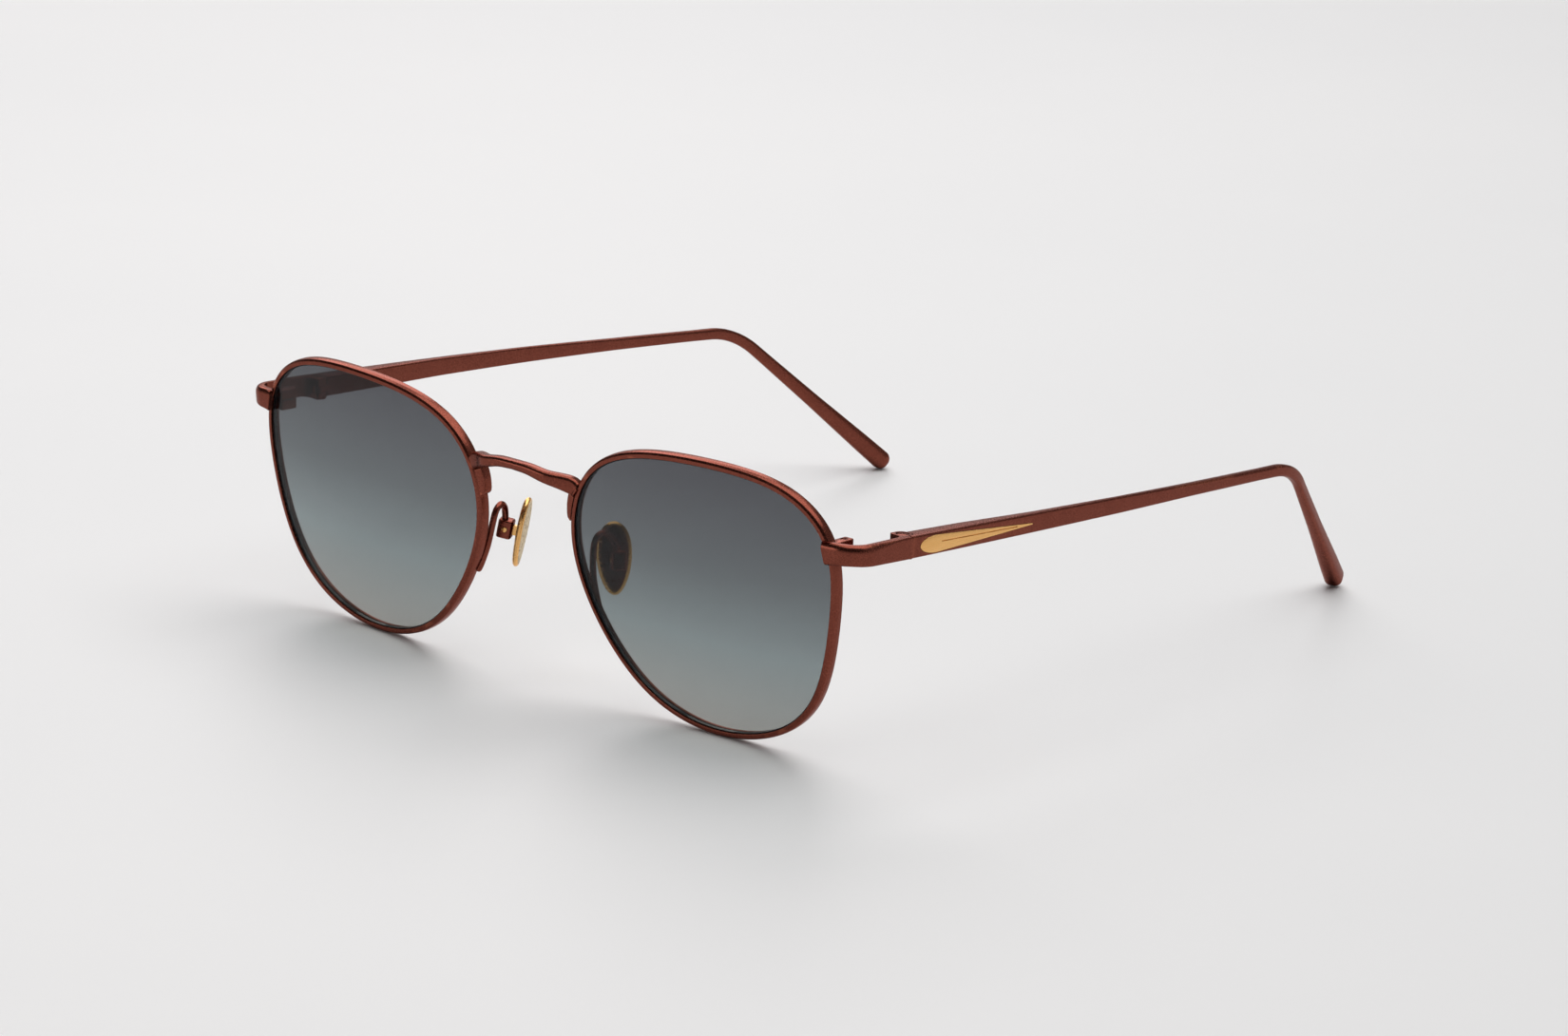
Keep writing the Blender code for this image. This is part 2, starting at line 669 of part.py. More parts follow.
def make_bridge_foot(side, datum, label):
    """Strip brazed down the nose side of the rim, below the bridge's end."""
    points, outward = rim_curve(RIM_STEPS * 8)
    nose_side = [k for k in range(len(points)) if outward[k][0] < -0.5]
    near = RIM_WALL + GAP
    front, back = FOOT_DEPTHS
    rings = []
    for share in np.linspace(0.0, 1.0, FOOT_STATIONS):
        z = FOOT_RANGE[0] + share * (FOOT_RANGE[1] - FOOT_RANGE[0])
        nearest = min(nose_side, key=lambda k: abs(lens_point(*points[k], 0.0).z - z))
        p, n = points[nearest], outward[nearest]
        reach = near + FOOT_THICKNESS * (1.0 - FOOT_TAPER * share * share)
        section = ((near, front), (reach - FOOT_CORNER, front), (reach, front + FOOT_CORNER),
                   (reach, back - FOOT_CORNER), (reach - FOOT_CORNER, back), (near, back))
        rings.append([lens_point(*(p + n * out), depth) for out, depth in section])
    add_solid(f"bridge_foot_{label}", ring_solid(rings), "copper_metal", side, datum)


# ---------------------------------------------------------------- nose pad

def pad_place(offset_out=0.0):
    frame = plate_frame(PAD_SPLAY, PAD_LEAN)
    centre = Vector(PAD_CENTRE) + frame @ Vector((offset_out, 0.0, 0.0))
    return Matrix.Translation(centre) @ frame.to_4x4()


def pad_outline(grow=0.0):
    """Egg shape in the pad's own y and z, wider at the top."""
    outline = []
    for k in range(PAD_STEPS):
        a = 2.0 * math.pi * k / PAD_STEPS
        z = (PAD_HEIGHT / 2 + grow) * math.sin(a)
        width = PAD_WIDTH / 2 * (1.0 + PAD_EGG * math.sin(a)) + grow
        outline.append((width * math.cos(a), z))
    return outline


def make_nose_pad(side, datum, label, screw_hole):
    half = PAD_THICKNESS / 2
    layers = ((-half, -PAD_FACE_INSET), (-half + PAD_FACE_INSET, 0.0),
              (half - TAB_SINK, 0.0), (half, -PAD_BACK_INSET))
    rings = [[(x, y, z) for y, z in pad_outline(grow)] for x, grow in layers]
    axis = pad_place(BOX_OFFSET).translation
    pad = add_solid(f"nose_pad_{label}", moved(ring_solid(rings), pad_place()), "gold_metal",
                    side, datum, tuple(axis))
    tab = [(half - TAB_SINK, -TAB_HALF_HEIGHT), (half - TAB_SINK, TAB_HALF_HEIGHT)]
    tab += arc((BOX_OFFSET, 0.0), TAB_HALF_HEIGHT, 90, -90, 8)
    rings = [[(x, y, z) for x, z in tab] for y in (-TAB_THICKNESS / 2, TAB_THICKNESS / 2)]
    tool = add_tool(f"pad_tab_{label}", moved(ring_solid(rings), pad_place()), side, datum)
    combine(pad, tool, "UNION")
    combine(pad, screw_hole)


def make_pad_box(side, datum, label, screw_hole):
    """Clip box at the end of the arm, slotted for the pad's tab."""
    deep, wide, tall = BOX_SIZE
    outline = rounded_rectangle(deep, wide, BOX_BEVEL, 2)
    box = add_solid(f"pad_box_{label}",
                    moved(prism(outline, -tall / 2, tall / 2), pad_place(BOX_OFFSET)),
                    "copper_metal", side, datum)
    soften(box, BOX_SOFT_EDGE)
    half = BOX_SLOT / 2
    slot = prism([(-deep, -half), (BOX_SLOT_DEPTH, -half), (BOX_SLOT_DEPTH, half), (-deep, half)],
                 -BOX_SLOT_HEIGHT / 2, BOX_SLOT_HEIGHT / 2)
    combine(box, add_tool(f"box_slot_{label}", moved(slot, pad_place(BOX_OFFSET)), side, datum))
    combine(box, screw_hole)


def pad_screw_place():
    """Lays the screw, made about Z, through the box with its head at the front."""
    return pad_place(BOX_OFFSET) @ Matrix.Rotation(math.radians(90.0), 4, "X")


def make_pad_arm(side, datum, label, rim_tool):
    line = open_spline(ARM_LINE, ARM_STEPS)
    slopes = np.gradient(line, axis=0)
    backward = Vector((0.0, 1.0, 0.0))
    rings = []
    for centre, slope in zip(line, slopes):
        along = Vector(slope).normalized()
        across = backward.cross(along).normalized()
        backward = along.cross(across)
        rings.append([Vector(centre) + across * a + backward * b
                      for a, b in arc((0, 0), ARM_RADIUS, 0, 360, 10)[:-1]])
    arm = add_solid(f"pad_arm_{label}", ring_solid(rings), "copper_metal", side, datum)
    combine(arm, rim_tool)
    deep, wide, tall = (size / 2 + GAP for size in BOX_SIZE)
    envelope = prism([(-deep, -wide), (deep, -wide), (deep, wide), (-deep, wide)], -tall, tall)
    combine(arm, add_tool(f"pad_box_envelope_{label}", moved(envelope, pad_place(BOX_OFFSET)),
                          side, datum))


def make_pad_assembly(side, datum, label, rim_tool):
    hole = add_tool(f"pad_screw_hole_{label}", moved(screw_hole(PAD_SCREW), pad_screw_place()),
                    side, datum)
    make_pad_arm(side, datum, label, rim_tool)
    make_pad_box(side, datum, label, hole)
    make_nose_pad(side, datum, label, hole)
    add_solid(f"pad_screw_{label}", moved(screw_solid(PAD_SCREW), pad_screw_place()),
              "gold_metal", side, datum)


# ---------------------------------------------------------------- assembly

def make_side(label, side, datum):
    rim_tool = make_rim_tool(side, datum, f"rim_envelope_{label}")
    hinge_place = upright(HINGE_AXIS) @ Matrix.Rotation(math.radians(HINGE_SLOT_TURN), 4, "Z")
    hinge_hole = add_tool(f"hinge_hole_{label}", moved(screw_hole(HINGE_SCREW), hinge_place),
                          side, datum)
    make_rim(side, datum, f"rim_{label}")
    make_lens(side, datum, f"lens_{label}")
    make_rim_lock(side, datum, label, rim_tool)
    make_end_piece(side, datum, label, rim_tool, hinge_hole)
    make_screw(f"hinge_screw_{label}", HINGE_SCREW, hinge_place, SLOT_WIDTH, side, datum)
    make_temple(side, datum, label, hinge_hole)
    make_bridge_foot(side, datum, label)
    make_pad_assembly(side, datum, label, rim_tool)
    return rim_tool


def main():
    clear_scene()
    datum = add_datum()
    rim_tools = [make_side(label, side, datum) for label, side in SIDES.items()]
    make_bridge(datum, rim_tools)


main()
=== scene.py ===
"""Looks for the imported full-rim metal sunglasses.

Every shown piece is rebuilt here at high resolution round the fixed CAD frame. Lengths are
millimetres and angles degrees until add_piece() turns them into metres. +X is the wearer's
left, +Y runs from the front back to the ears and +Z is up. Functions describe the wearer's
left half; the right half is the same shape with X negated.
"""

import json
import math

import bmesh
import bpy
import numpy as np
from mathutils import Matrix, Vector

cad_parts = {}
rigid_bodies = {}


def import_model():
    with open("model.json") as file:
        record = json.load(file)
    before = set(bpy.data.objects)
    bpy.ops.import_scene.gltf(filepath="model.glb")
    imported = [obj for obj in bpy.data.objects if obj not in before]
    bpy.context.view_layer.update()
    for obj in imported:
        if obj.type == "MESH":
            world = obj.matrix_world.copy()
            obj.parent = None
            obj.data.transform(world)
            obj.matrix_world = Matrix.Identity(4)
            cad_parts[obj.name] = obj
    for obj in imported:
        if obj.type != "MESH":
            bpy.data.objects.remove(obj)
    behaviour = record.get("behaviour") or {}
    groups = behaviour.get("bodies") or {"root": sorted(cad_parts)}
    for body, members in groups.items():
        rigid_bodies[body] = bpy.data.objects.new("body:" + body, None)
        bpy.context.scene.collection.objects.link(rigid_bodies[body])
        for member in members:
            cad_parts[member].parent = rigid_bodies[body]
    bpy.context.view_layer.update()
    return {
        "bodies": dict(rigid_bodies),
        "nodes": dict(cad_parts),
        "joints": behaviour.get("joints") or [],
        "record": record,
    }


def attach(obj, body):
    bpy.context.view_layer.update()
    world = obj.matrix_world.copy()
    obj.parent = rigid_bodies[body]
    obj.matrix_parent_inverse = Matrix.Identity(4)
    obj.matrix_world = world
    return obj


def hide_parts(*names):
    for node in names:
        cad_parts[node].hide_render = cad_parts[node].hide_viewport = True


MM = 0.001
CENTRE_Y = 67.0          # the lens centres lie this far in front of the row frame's origin
SIDES = {"left": 1, "right": -1}

# Lens and rim. u runs to the temple side, v up, depth backwards from the rim's front face.
LENS_CENTRE = (34.86, -0.42, 21.93)
WRAP = 3.52
TILT = 7.2
LENS_CURVE_RADIUS = 148.6
RIM_OPENING = (
    (22.7, 0.0), (22.9, 9.0), (19.5, 15.0), (12.0, 18.5), (0.5, 19.3), (-11.0, 18.2),
    (-19.3, 14.8), (-23.8, 8.6), (-24.2, 0.0), (-19.5, -10.0), (-11.0, -18.3), (0.5, -21.4),
    (12.0, -19.0), (19.5, -11.5),
)
RIM_STEPS = 300
RIM_TOOL_STEPS = 120
RIM_TOOL_REACH = 1.5
RIM_WALL = 0.95
RIM_DEPTH = 1.75
# Rim wall: distance out from the opening, depth behind the front face, corner radius.
RIM_SECTION = (
    (0.0, 0.02, 0.12), (0.58, 0.0, 0.05), (0.86, 0.24, 0.1), (RIM_WALL, 0.8, 0.3),
    (0.9, RIM_DEPTH, 0.25), (0.0, RIM_DEPTH, 0.1), (0.0, 1.35, 0.03), (0.4, 1.08, 0.08),
    (0.4, 0.72, 0.08), (0.0, 0.45, 0.03),
)
# Ground edge of the lens, painted dark as the shade in the rim's groove; then the lens's front
# and back faces, which stop just short of it.
LENS_EDGE = (
    (-0.16, 0.34), (-0.04, 0.4), (0.28, 0.62), (0.28, 0.7), (-0.04, 0.78), (-0.16, 0.84),
)
LENS_REACH = -0.165
LENS_FACES = (0.34, 0.84)
LENS_RINGS = 14
LENS_SHARP = 28.0
LENS_TINT_TOP = 0.0425    # the tint runs from the table up to here, in metres
LENS_BODY_SHARE = 0.42    # of the lens's look; the rest is filtered see-through

# Screws: shank radius, head radius, then the heights of the shank's end, the head's
# underside and the head's top. The pad's screw is measured from the middle of its clip box.
LOCK_SCREW = (0.34, 0.52, 30.9, 33.6, 33.95)
HINGE_SCREW = (0.5, 0.95, 30.55, 33.3, 33.67)
PAD_SCREW = (0.33, 0.42, -1.05, 1.03, 1.23)
SLOT_WIDTH = 0.28
SLOT_DEPTH = 0.22
SLOT_LENGTH = 2.6         # shares of the head's radius
SCREW_EDGE = 0.11
SLOT_CORNER = 0.2         # share of the slot's width
HOLE_GAP = 0.05
OVERRUN = 0.5             # a hole's cutter reaches this far past the screw's two ends

# Rim lock.
SPLIT_Z = 32.35
SPLIT_GAP = 0.2
BLOCK_CENTRE = (57.55, 4.75)
BLOCK_SIZE = (1.7, 3.5)
BLOCK_CORNER = 0.35
BLOCK_EDGE = 0.12
BLOCK_BOTTOM = 30.75
BLOCK_TOP = 34.0
LOCK_SCREW_CENTRE = (57.55, 5.25)
LOCK_SLOT_WIDTH = 0.18

# End piece and hinge.
END_OUTER = ((56.75, 0.85), (63.15, 1.6), (62.8, 14.07))
END_INNER = ((56.75, 2.55), (61.75, 3.1), (61.6, 12.2))
END_OUTER_RADIUS = 4.5
END_INNER_RADIUS = 2.8
END_TOP_FRONT = 34.35
END_HEIGHT = 2.95
END_FLARE = 0.35
END_FLARE_END = 61.5
END_SLOPE = 0.041
END_GROWTH = 0.022
END_SLANT = 0.75
END_SLANT_REACH = 1.3
END_MOUTH_RADIUS = 0.2
END_TOP_ROUND = 0.85
END_ROUND = 0.08
END_BOTTOM_ROUND = 0.25
END_ROUND_RISE = 1.5
END_ROUND_STEPS = 9
END_OUTER_STEPS = 20
END_INNER_STEPS = 14
END_FADE_START = 4.0
LEAN_START = 3.0
LEAN_END = 12.35
END_FADE_STOPS = (0.8, 0.6, 0.45, 0.3, 0.15, 0.06)
HINGE_AXIS = (60.55, 14.35)
KNUCKLE_RADIUS = 1.4
KNUCKLE_ARC = (-16.0, 184.0)
TEMPLE_KNUCKLE_ARC = (165.0, 360.0)
TEMPLE_KNUCKLE_ROOT = (-0.6, 2.1)
ARC_STEPS = 36
CLEARANCE_STEPS = 24
KNUCKLE_CLEARANCE = 0.1
KNUCKLE_SPLITS = (31.43, 32.52)
KNUCKLE_GAP = 0.06
KNUCKLE_SLOT_REACH = 2.5
HINGE_SLOT_TURN = 35.0
HINGE_STEP = ((-1.4, -1.05), (-1.15, -1.3), (0.6, -1.45))
HINGE_ROOM = (28.0, 36.0)
HINGE_ROOM_REACH = (-3.0, -2.0)

# Temple.
TEMPLE_START_Y = 14.15
TEMPLE_OUTER_X = (62.75, 0.0106, -0.00044)
TEMPLE_CENTRE_Z = (32.14, -0.0455, -0.000115)
TEMPLE_STRAIGHT = 89.4
BEND_RADIUS = 15.0
LEG_DOWN = 40.5
LEG_IN = 20.6
LEG_LENGTH = 34.8
TIP_ROUNDING = 1.7
# Distance along the temple, height, thickness, corner radius.
TEMPLE_SECTIONS = (
    (0.0, 3.25, 2.9, 0.3), (12.0, 3.1, 2.6, 0.3), (28.0, 2.85, 1.5, 0.3), (48.0, 2.5, 1.0, 0.3),
    (67.0, 2.0, 1.3, 0.4), (85.0, 1.8, 1.5, 0.5), (102.0, 2.0, 1.6, 0.6), (115.0, 2.4, 2.0, 0.8),
    (128.0, 3.1, 2.8, 1.1), (140.0, 3.5, 3.3, 1.3),
)
TEMPLE_STATIONS = 220
TEMPLE_STRAIGHT_STEPS = 120
TEMPLE_BEND_STEPS = 60
TEMPLE_LINE_STEPS = 800
BEND_LOOK_BACK = 8        # points over which the direction into the bend is taken
TEMPLE_CORNER_LIMIT = 0.42
TIP_STATIONS = 14
TIP_LEAST = 0.06
TIP_FIRST = 0.05
INLAY_START = 1.6
INLAY_LENGTH = 25.0
INLAY_HALF_HEIGHT = 1.3
INLAY_NOSE = 0.14
INLAY_TAIL_HALF_HEIGHT = 0.1
INLAY_PROUD = 0.05
INLAY_SINK = 0.32
INLAY_STATIONS = 90
INLAY_SPACING = 1.6       # power that crowds the stations towards the nose
INLAY_POCKET_GAP = 0.05
INLAY_POCKET_REACH = 1.0
INLAY_EDGE = 0.06
GROOVE_RADIUS = 0.1
GROOVE_START = 4.6
GROOVE_END = 0.86         # share of the inlay's length
GROOVE_RISE = 0.25
GROOVE_STEPS = 24

# Bridge: x, y, z and height of the bar from the middle to the rim; then its feet.
BRIDGE_LINE = (
    (0.0, -2.7, 34.7, 1.4), (3.0, -2.6, 34.55, 1.55), (6.0, -2.2, 33.95, 1.85),
    (8.2, -1.1, 33.45, 2.3), (9.6, -0.5, 33.1, 2.5), (10.5, -0.2, 32.6, 2.25),
    (10.95, -0.2, 32.25, 1.9),
)
BRIDGE_DEPTH = 2.0
BRIDGE_CORNER = 0.6
BRIDGE_STEPS = 14
BRIDGE_SHARP = 18.0
FOOT_RANGE = (31.0, 27.5)
FOOT_THICKNESS = 1.3
FOOT_TAPER = 0.45
FOOT_DEPTHS = (0.1, 1.75)
FOOT_STATIONS = 26
FOOT_SEAT = 0.05          # how far the foot reaches into the rim's wall
FOOT_TIP = 0.14           # share of its length over which its lower end rounds off
FOOT_TIP_LEAST = 0.1
FOOT_CORNER = 0.3

# Nose pads and arms.
PAD_CENTRE = (9.65, 8.9, 20.25)
PAD_SPLAY = 32.0
PAD_LEAN = 11.5
PAD_HEIGHT = 11.0
PAD_WIDTH = 5.4
PAD_THICKNESS = 0.9
PAD_EGG = 0.16            # how much wider the pad is at its top
PAD_STEPS = 96
# Layers of the plate, its cream face and its copper back: height through the pad from its
# back (+) to its face (-), and how far the outline grows there.
PAD_BACK = PAD_THICKNESS / 2
PLATE_LAYERS = (
    (PAD_BACK, -0.6), (PAD_BACK - 0.08, -0.3), (PAD_BACK - 0.28, -0.06), (0.0, 0.0),
    (-PAD_BACK + 0.25, -0.02), (-PAD_BACK + 0.1, -0.1), (-PAD_BACK, -0.25),
)
FACE_LAYERS = ((-PAD_BACK + 0.02, -0.4), (-PAD_BACK - 0.03, -0.42), (-PAD_BACK - 0.05, -0.5))
BACK_LAYERS = ((PAD_BACK - 0.05, -0.62), (PAD_BACK + 0.03, -0.66), (PAD_BACK + 0.05, -0.75))
BOX_OFFSET = 2.5
BOX_SIZE = (2.3, 2.3, 2.9)
BOX_SLOT = 0.9
BOX_SLOT_HALF_HEIGHT = 0.95
BOX_SLOT_DEPTHS = (-3.0, 0.85)
BOX_CORNER = 0.5
BOX_EDGE = 0.3
TAB_THICKNESS = 0.7
TAB_HALF_HEIGHT = 0.75
TAB_SINK = 0.3
TAB_GAP = 0.05
ARM_RADIUS = 0.5
ARM_LINE = ((12.7, 2.75, 14.6), (11.95, 2.9, 16.2), (11.0, 3.1, 19.0), (10.5, 3.5, 22.2),
            (10.4, 4.1, 24.2), (10.6, 5.3, 24.95), (11.05, 6.5, 24.3), (11.5, 7.2, 22.9),
            (11.75, 7.4, 21.3))
ARM_STEPS = 12
ARM_DOME = 0.04           # share of the wire that is rounded off
ARM_DOME_LEAST = 0.12

# Camera: where it stands in the row frame, which way it looks, and its lens.
CAMERA_PLACE = (510.69, -583.99, 226.29)
CAMERA_AZIMUTH = 41.655
CAMERA_ELEVATION = 15.33
CAMERA_ROLL = 1.942
FOCAL_LENGTH = 117.38
SENSOR_WIDTH = 36.0


# ---------------------------------------------------------------- curves

def hermite(knots, slopes, first, second, t):
    rise = t * t * (3.0 - 2.0 * t)
    leave = t * (1.0 - t) ** 2
    arrive = t * t * (t - 1.0)
    ends = (1.0 - rise) * knots[first] + rise * knots[second]
    return ends + leave * slopes[first] + arrive * slopes[second]


def closed_spline(points, steps):
    """Evenly spaced points on the smooth closed curve through the given points."""
    knots = np.array(points, float)
    count = len(knots)
    ring = 4.0 * np.eye(count) + np.roll(np.eye(count), 1, 0) + np.roll(np.eye(count), -1, 0)
    pull = 3.0 * (np.roll(knots, -1, 0) - np.roll(knots, 1, 0))
    slopes = np.linalg.solve(ring, pull)
    fine = [hermite(knots, slopes, k, (k + 1) % count, t)
            for k in range(count) for t in np.linspace(0.0, 1.0, 60, endpoint=False)]
    return even_spacing(np.array(fine + fine[:1]), steps)[:-1]


def open_spline(points, steps_per_span):
    """Points on the smooth curve that starts and ends at the given end points."""
    knots = np.array(points, float)
    slopes = np.gradient(knots, axis=0)
    curve = [hermite(knots, slopes, k, k + 1, t) for k in range(len(knots) - 1)
             for t in np.linspace(0.0, 1.0, steps_per_span, endpoint=False)]
    return np.array(curve + [knots[-1]])


def even_spacing(curve, steps):
    """The same curve as steps + 1 points at equal distances."""
    lengths = np.linalg.norm(np.diff(curve, axis=0), axis=1)
    along = np.concatenate([[0.0], np.cumsum(lengths)])
    wanted = np.linspace(0.0, along[-1], steps + 1)
    return np.stack([np.interp(wanted, along, column) for column in curve.T], -1)


def arc(centre, radius, start, end, steps):
    """Points of a circular arc in plan, both ends included."""
    angles = np.radians(np.linspace(start, end, steps + 1))
    return [(centre[0] + radius * math.cos(a), centre[1] + radius * math.sin(a)) for a in angles]


def filleted(corners, steps=4, closed=True):
    """An outline of (a, b, radius) corners with each corner rounded."""
    outline = []
    count = len(corners)
    for k, (a, b, radius) in enumerate(corners):
        if not closed and k in (0, count - 1):
            outline.append((a, b))
            continue
        corner = Vector((a, b))
        to_last = (Vector(corners[k - 1][:2]) - corner).normalized()
        to_next = (Vector(corners[(k + 1) % count][:2]) - corner).normalized()
        half = to_last.angle(to_next) / 2.0
        centre = corner + (to_last + to_next).normalized() * (radius / math.sin(half))
        first = corner + to_last * (radius / math.tan(half)) - centre
        last = corner + to_next * (radius / math.tan(half)) - centre
        turn = first.angle_signed(last)
        outline += [tuple(centre + Matrix.Rotation(-turn * n / steps, 2) @ first)
                    for n in range(steps + 1)]
    return outline


def rounded_rectangle(width, height, radius, steps=4):
    a, b = width / 2, height / 2
    return filleted(((a, b, radius), (-a, b, radius), (-a, -b, radius), (a, -b, radius)), steps)


# ---------------------------------------------------------------- solids

def ring_solid(rings, closed=False):
    """A solid skin over successive rings of equal point count, capped unless closed."""
    bm = bmesh.new()
    loops = [[bm.verts.new(p) for p in ring] for ring in rings]
    pairs = list(zip(loops, loops[1:]))
    if closed:
        pairs.append((loops[-1], loops[0]))
    else:
        bm.faces.new(loops[0])
        bm.faces.new(loops[-1])
    for near, far in pairs:
        for k in range(len(near)):
            m = (k + 1) % len(near)
            bm.faces.new((near[k], near[m], far[m], far[k]))
    return bm


def prism(outline, bottom, top):
    return ring_solid([[(x, y, z) for x, y in outline] for z in (bottom, top)])


def turned(profile, steps=48):
    """A round solid about Z from (radius, height) points."""
    return ring_solid([[(x, y, z) for x, y in arc((0, 0), r, 0, 360, steps)[:-1]]
                       for r, z in profile])


def moved(bm, placement):
    bmesh.ops.transform(bm, matrix=placement, verts=bm.verts)
    return bm


def upright(centre):
    return Matrix.Translation((*centre, 0.0))


def swept(line, radius, steps, share_at=lambda share: 1.0):
    """A round rod along a line of points; share_at scales its radius along the way."""
    slopes = np.gradient(np.array(line), axis=0)
    backward = Vector((0.0, 1.0, 0.0))
    rings = []
    for k, (centre, slope) in enumerate(zip(line, slopes)):
        along = Vector(slope).normalized()
        across = backward.cross(along).normalized()
        backward = along.cross(across)
        size = radius * share_at(k / (len(line) - 1))
        rings.append([Vector(centre) + across * a + backward * b
                      for a, b in arc((0, 0), size, 0, 360, steps)[:-1]])
    return ring_solid(rings)


# ---------------------------------------------------------------- objects

def to_mesh(name, bm, side):
    mirror = Matrix.Diagonal((side, 1.0, 1.0, 1.0))
    bm.transform(Matrix.Scale(MM, 4) @ mirror @ Matrix.Translation((0.0, -CENTRE_Y, 0.0)))
    bmesh.ops.recalc_face_normals(bm, faces=bm.faces)
    if bm.calc_volume(signed=True) < 0.0:
        bmesh.ops.reverse_faces(bm, faces=bm.faces)
    mesh = bpy.data.meshes.new(name)
    bm.to_mesh(mesh)
    bm.free()
    return mesh


def settle(item):
    """Applies the modifiers of an object to its mesh."""
    graph = bpy.context.evaluated_depsgraph_get()
    mesh = bpy.data.meshes.new_from_object(item.evaluated_get(graph))
    item.modifiers.clear()
    item.data = mesh


def bevelled(item, width, segments=3, angle=40.0):
    step = item.modifiers.new("edge_bevel", "BEVEL")
    step.width = width * MM
    step.segments = segments
    step.limit_method = "ANGLE"
    step.angle_limit = math.radians(angle)
    settle(item)


def combined(item, bm, side, operation="DIFFERENCE"):
    """Cuts a solid out of an object, or joins it on, for good."""
    tool = bpy.data.objects.new("tool", to_mesh("tool", bm, side))
    bpy.context.collection.objects.link(tool)
    step = item.modifiers.new("combine", "BOOLEAN")
    step.operation = operation
    step.solver = "EXACT"
    step.object = tool
    settle(item)
    bpy.data.objects.remove(tool, do_unlink=True)


def add_piece(name, bm, side, sharp=32.0):
    item = bpy.data.objects.new(name, to_mesh(name, bm, side))
    bpy.context.collection.objects.link(item)
    item["sharp"] = sharp
    return item


def finish_piece(item, look, slot, body, *nodes):
    """Smooths and paints a piece, ties it to its body and lets it stand for CAD nodes."""
    item.data.shade_smooth()
    item.data.set_sharp_from_angle(angle=math.radians(item["sharp"]))
    item.data.materials.clear()
    item.data.materials.append(look)
    del item["sharp"]
    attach(item, body)
    if nodes:
        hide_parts(*nodes)
    return item


# ---------------------------------------------------------------- rim and lens

def lens_point(u, v, depth):
    """A point on the curved, wrapped and tilted lens shape."""
    wrap, tilt = math.radians(WRAP), math.radians(TILT)
    back = (u * u + v * v) / (2.0 * LENS_CURVE_RADIUS) + depth
    y = back * math.cos(tilt) - v * math.sin(tilt)
    z = v * math.cos(tilt) + back * math.sin(tilt)
    return Vector((LENS_CENTRE[0] + u * math.cos(wrap) - y * math.sin(wrap),
                   LENS_CENTRE[1] + u * math.sin(wrap) + y * math.cos(wrap),
                   LENS_CENTRE[2] + z))


def rim_curve(steps=RIM_STEPS):
    """Points of the rim opening and their outward directions."""
    points = closed_spline(RIM_OPENING, steps)
    along = np.roll(points, -1, 0) - np.roll(points, 1, 0)
    outward = np.stack([along[:, 1], -along[:, 0]], -1)
    return points, outward / np.linalg.norm(outward, axis=1)[:, None]


def rim_rings(section, steps=RIM_STEPS):
    points, outward = rim_curve(steps)
    return [[lens_point(*(p + out * n), depth) for out, depth in section]
            for p, n in zip(points, outward)]


def rim_envelope():
    """The rim's outer envelope, for fitting pieces against it."""
    section = ((-RIM_TOOL_REACH, 0.0), (RIM_WALL, 0.0), (RIM_WALL, RIM_DEPTH),
               (-RIM_TOOL_REACH, RIM_DEPTH))
    return ring_solid(rim_rings(section, RIM_TOOL_STEPS), closed=True)


def make_rim(label, side, looks):
    rings = rim_rings(filleted(RIM_SECTION, 4))
    temple_side = range(len(rings) // 4)
    split = min(temple_side, key=lambda k: abs(rings[k][0].z - SPLIT_Z))
    rings = rings[split:] + rings[:split + 1]
    for end, step in ((0, 1), (-1, -2)):
        run = (rings[step][0] - rings[end][0]).length
        share = SPLIT_GAP / 2 / run
        rings[end] = [a.lerp(b, share) for a, b in zip(rings[end], rings[step])]
    rim = add_piece(f"eyewire_{label}", ring_solid(rings), side)
    finish_piece(rim, looks["copper"], "copper_metal", "front", f"rim_{label}")


def make_lens(label, side, looks):
    points, outward = rim_curve()
    front, back = LENS_FACES
    shares = [math.sin(0.5 * math.pi * k / LENS_RINGS) for k in range(1, LENS_RINGS + 1)]
    layers = [(share, front) for share in shares] + [(share, back) for share in shares[::-1]]
    rings = [[lens_point(*((p + n * LENS_REACH) * share), depth)
              for p, n in zip(points, outward)] for share, depth in layers]
    bm = ring_solid(rings)
    bmesh.ops.poke(bm, faces=[f for f in bm.faces if len(f.verts) > 4])
    lens = add_piece(f"sun_lens_{label}", bm, side, LENS_SHARP)
    finish_piece(lens, looks["lens"], "tinted_lens", "front", f"lens_{label}")
    # The lens's edge ring is painted dark grey: painted shade for the rim's groove.
    edge = add_piece(f"lens_bevel_shade_{label}", ring_solid(rim_rings(LENS_EDGE), closed=True), side)
    finish_piece(edge, looks["lens_edge"], "tinted_lens", "front", f"lens_{label}")


# ---------------------------------------------------------------- screws

def screw_solid(screw):
    shank, head, low, seat, high = screw
    return turned(((shank, low), (shank, seat), (head, seat), (head, high)))


def screw_hole(screw):
    """The room a screw needs, open at both ends."""
    shank, head, low, seat, high = screw
    return screw_solid((shank + HOLE_GAP, head + HOLE_GAP, low - OVERRUN, seat - HOLE_GAP,
                        high + OVERRUN))


def make_screw(name, node_name, screw, place, slot_width, side, looks):
    """A copper screw with a driver slot across its softened head."""
    item = add_piece(name, moved(screw_solid(screw), place), side)
    head, high = screw[1], screw[4]
    bevelled(item, SCREW_EDGE * head)
    slot = rounded_rectangle(SLOT_LENGTH * head, slot_width, slot_width * SLOT_CORNER, 2)
    combined(item, moved(prism(slot, high - SLOT_DEPTH, high + OVERRUN), place), side)
    finish_piece(item, looks["copper"], "copper_metal", "front", node_name)


# ---------------------------------------------------------------- rim lock

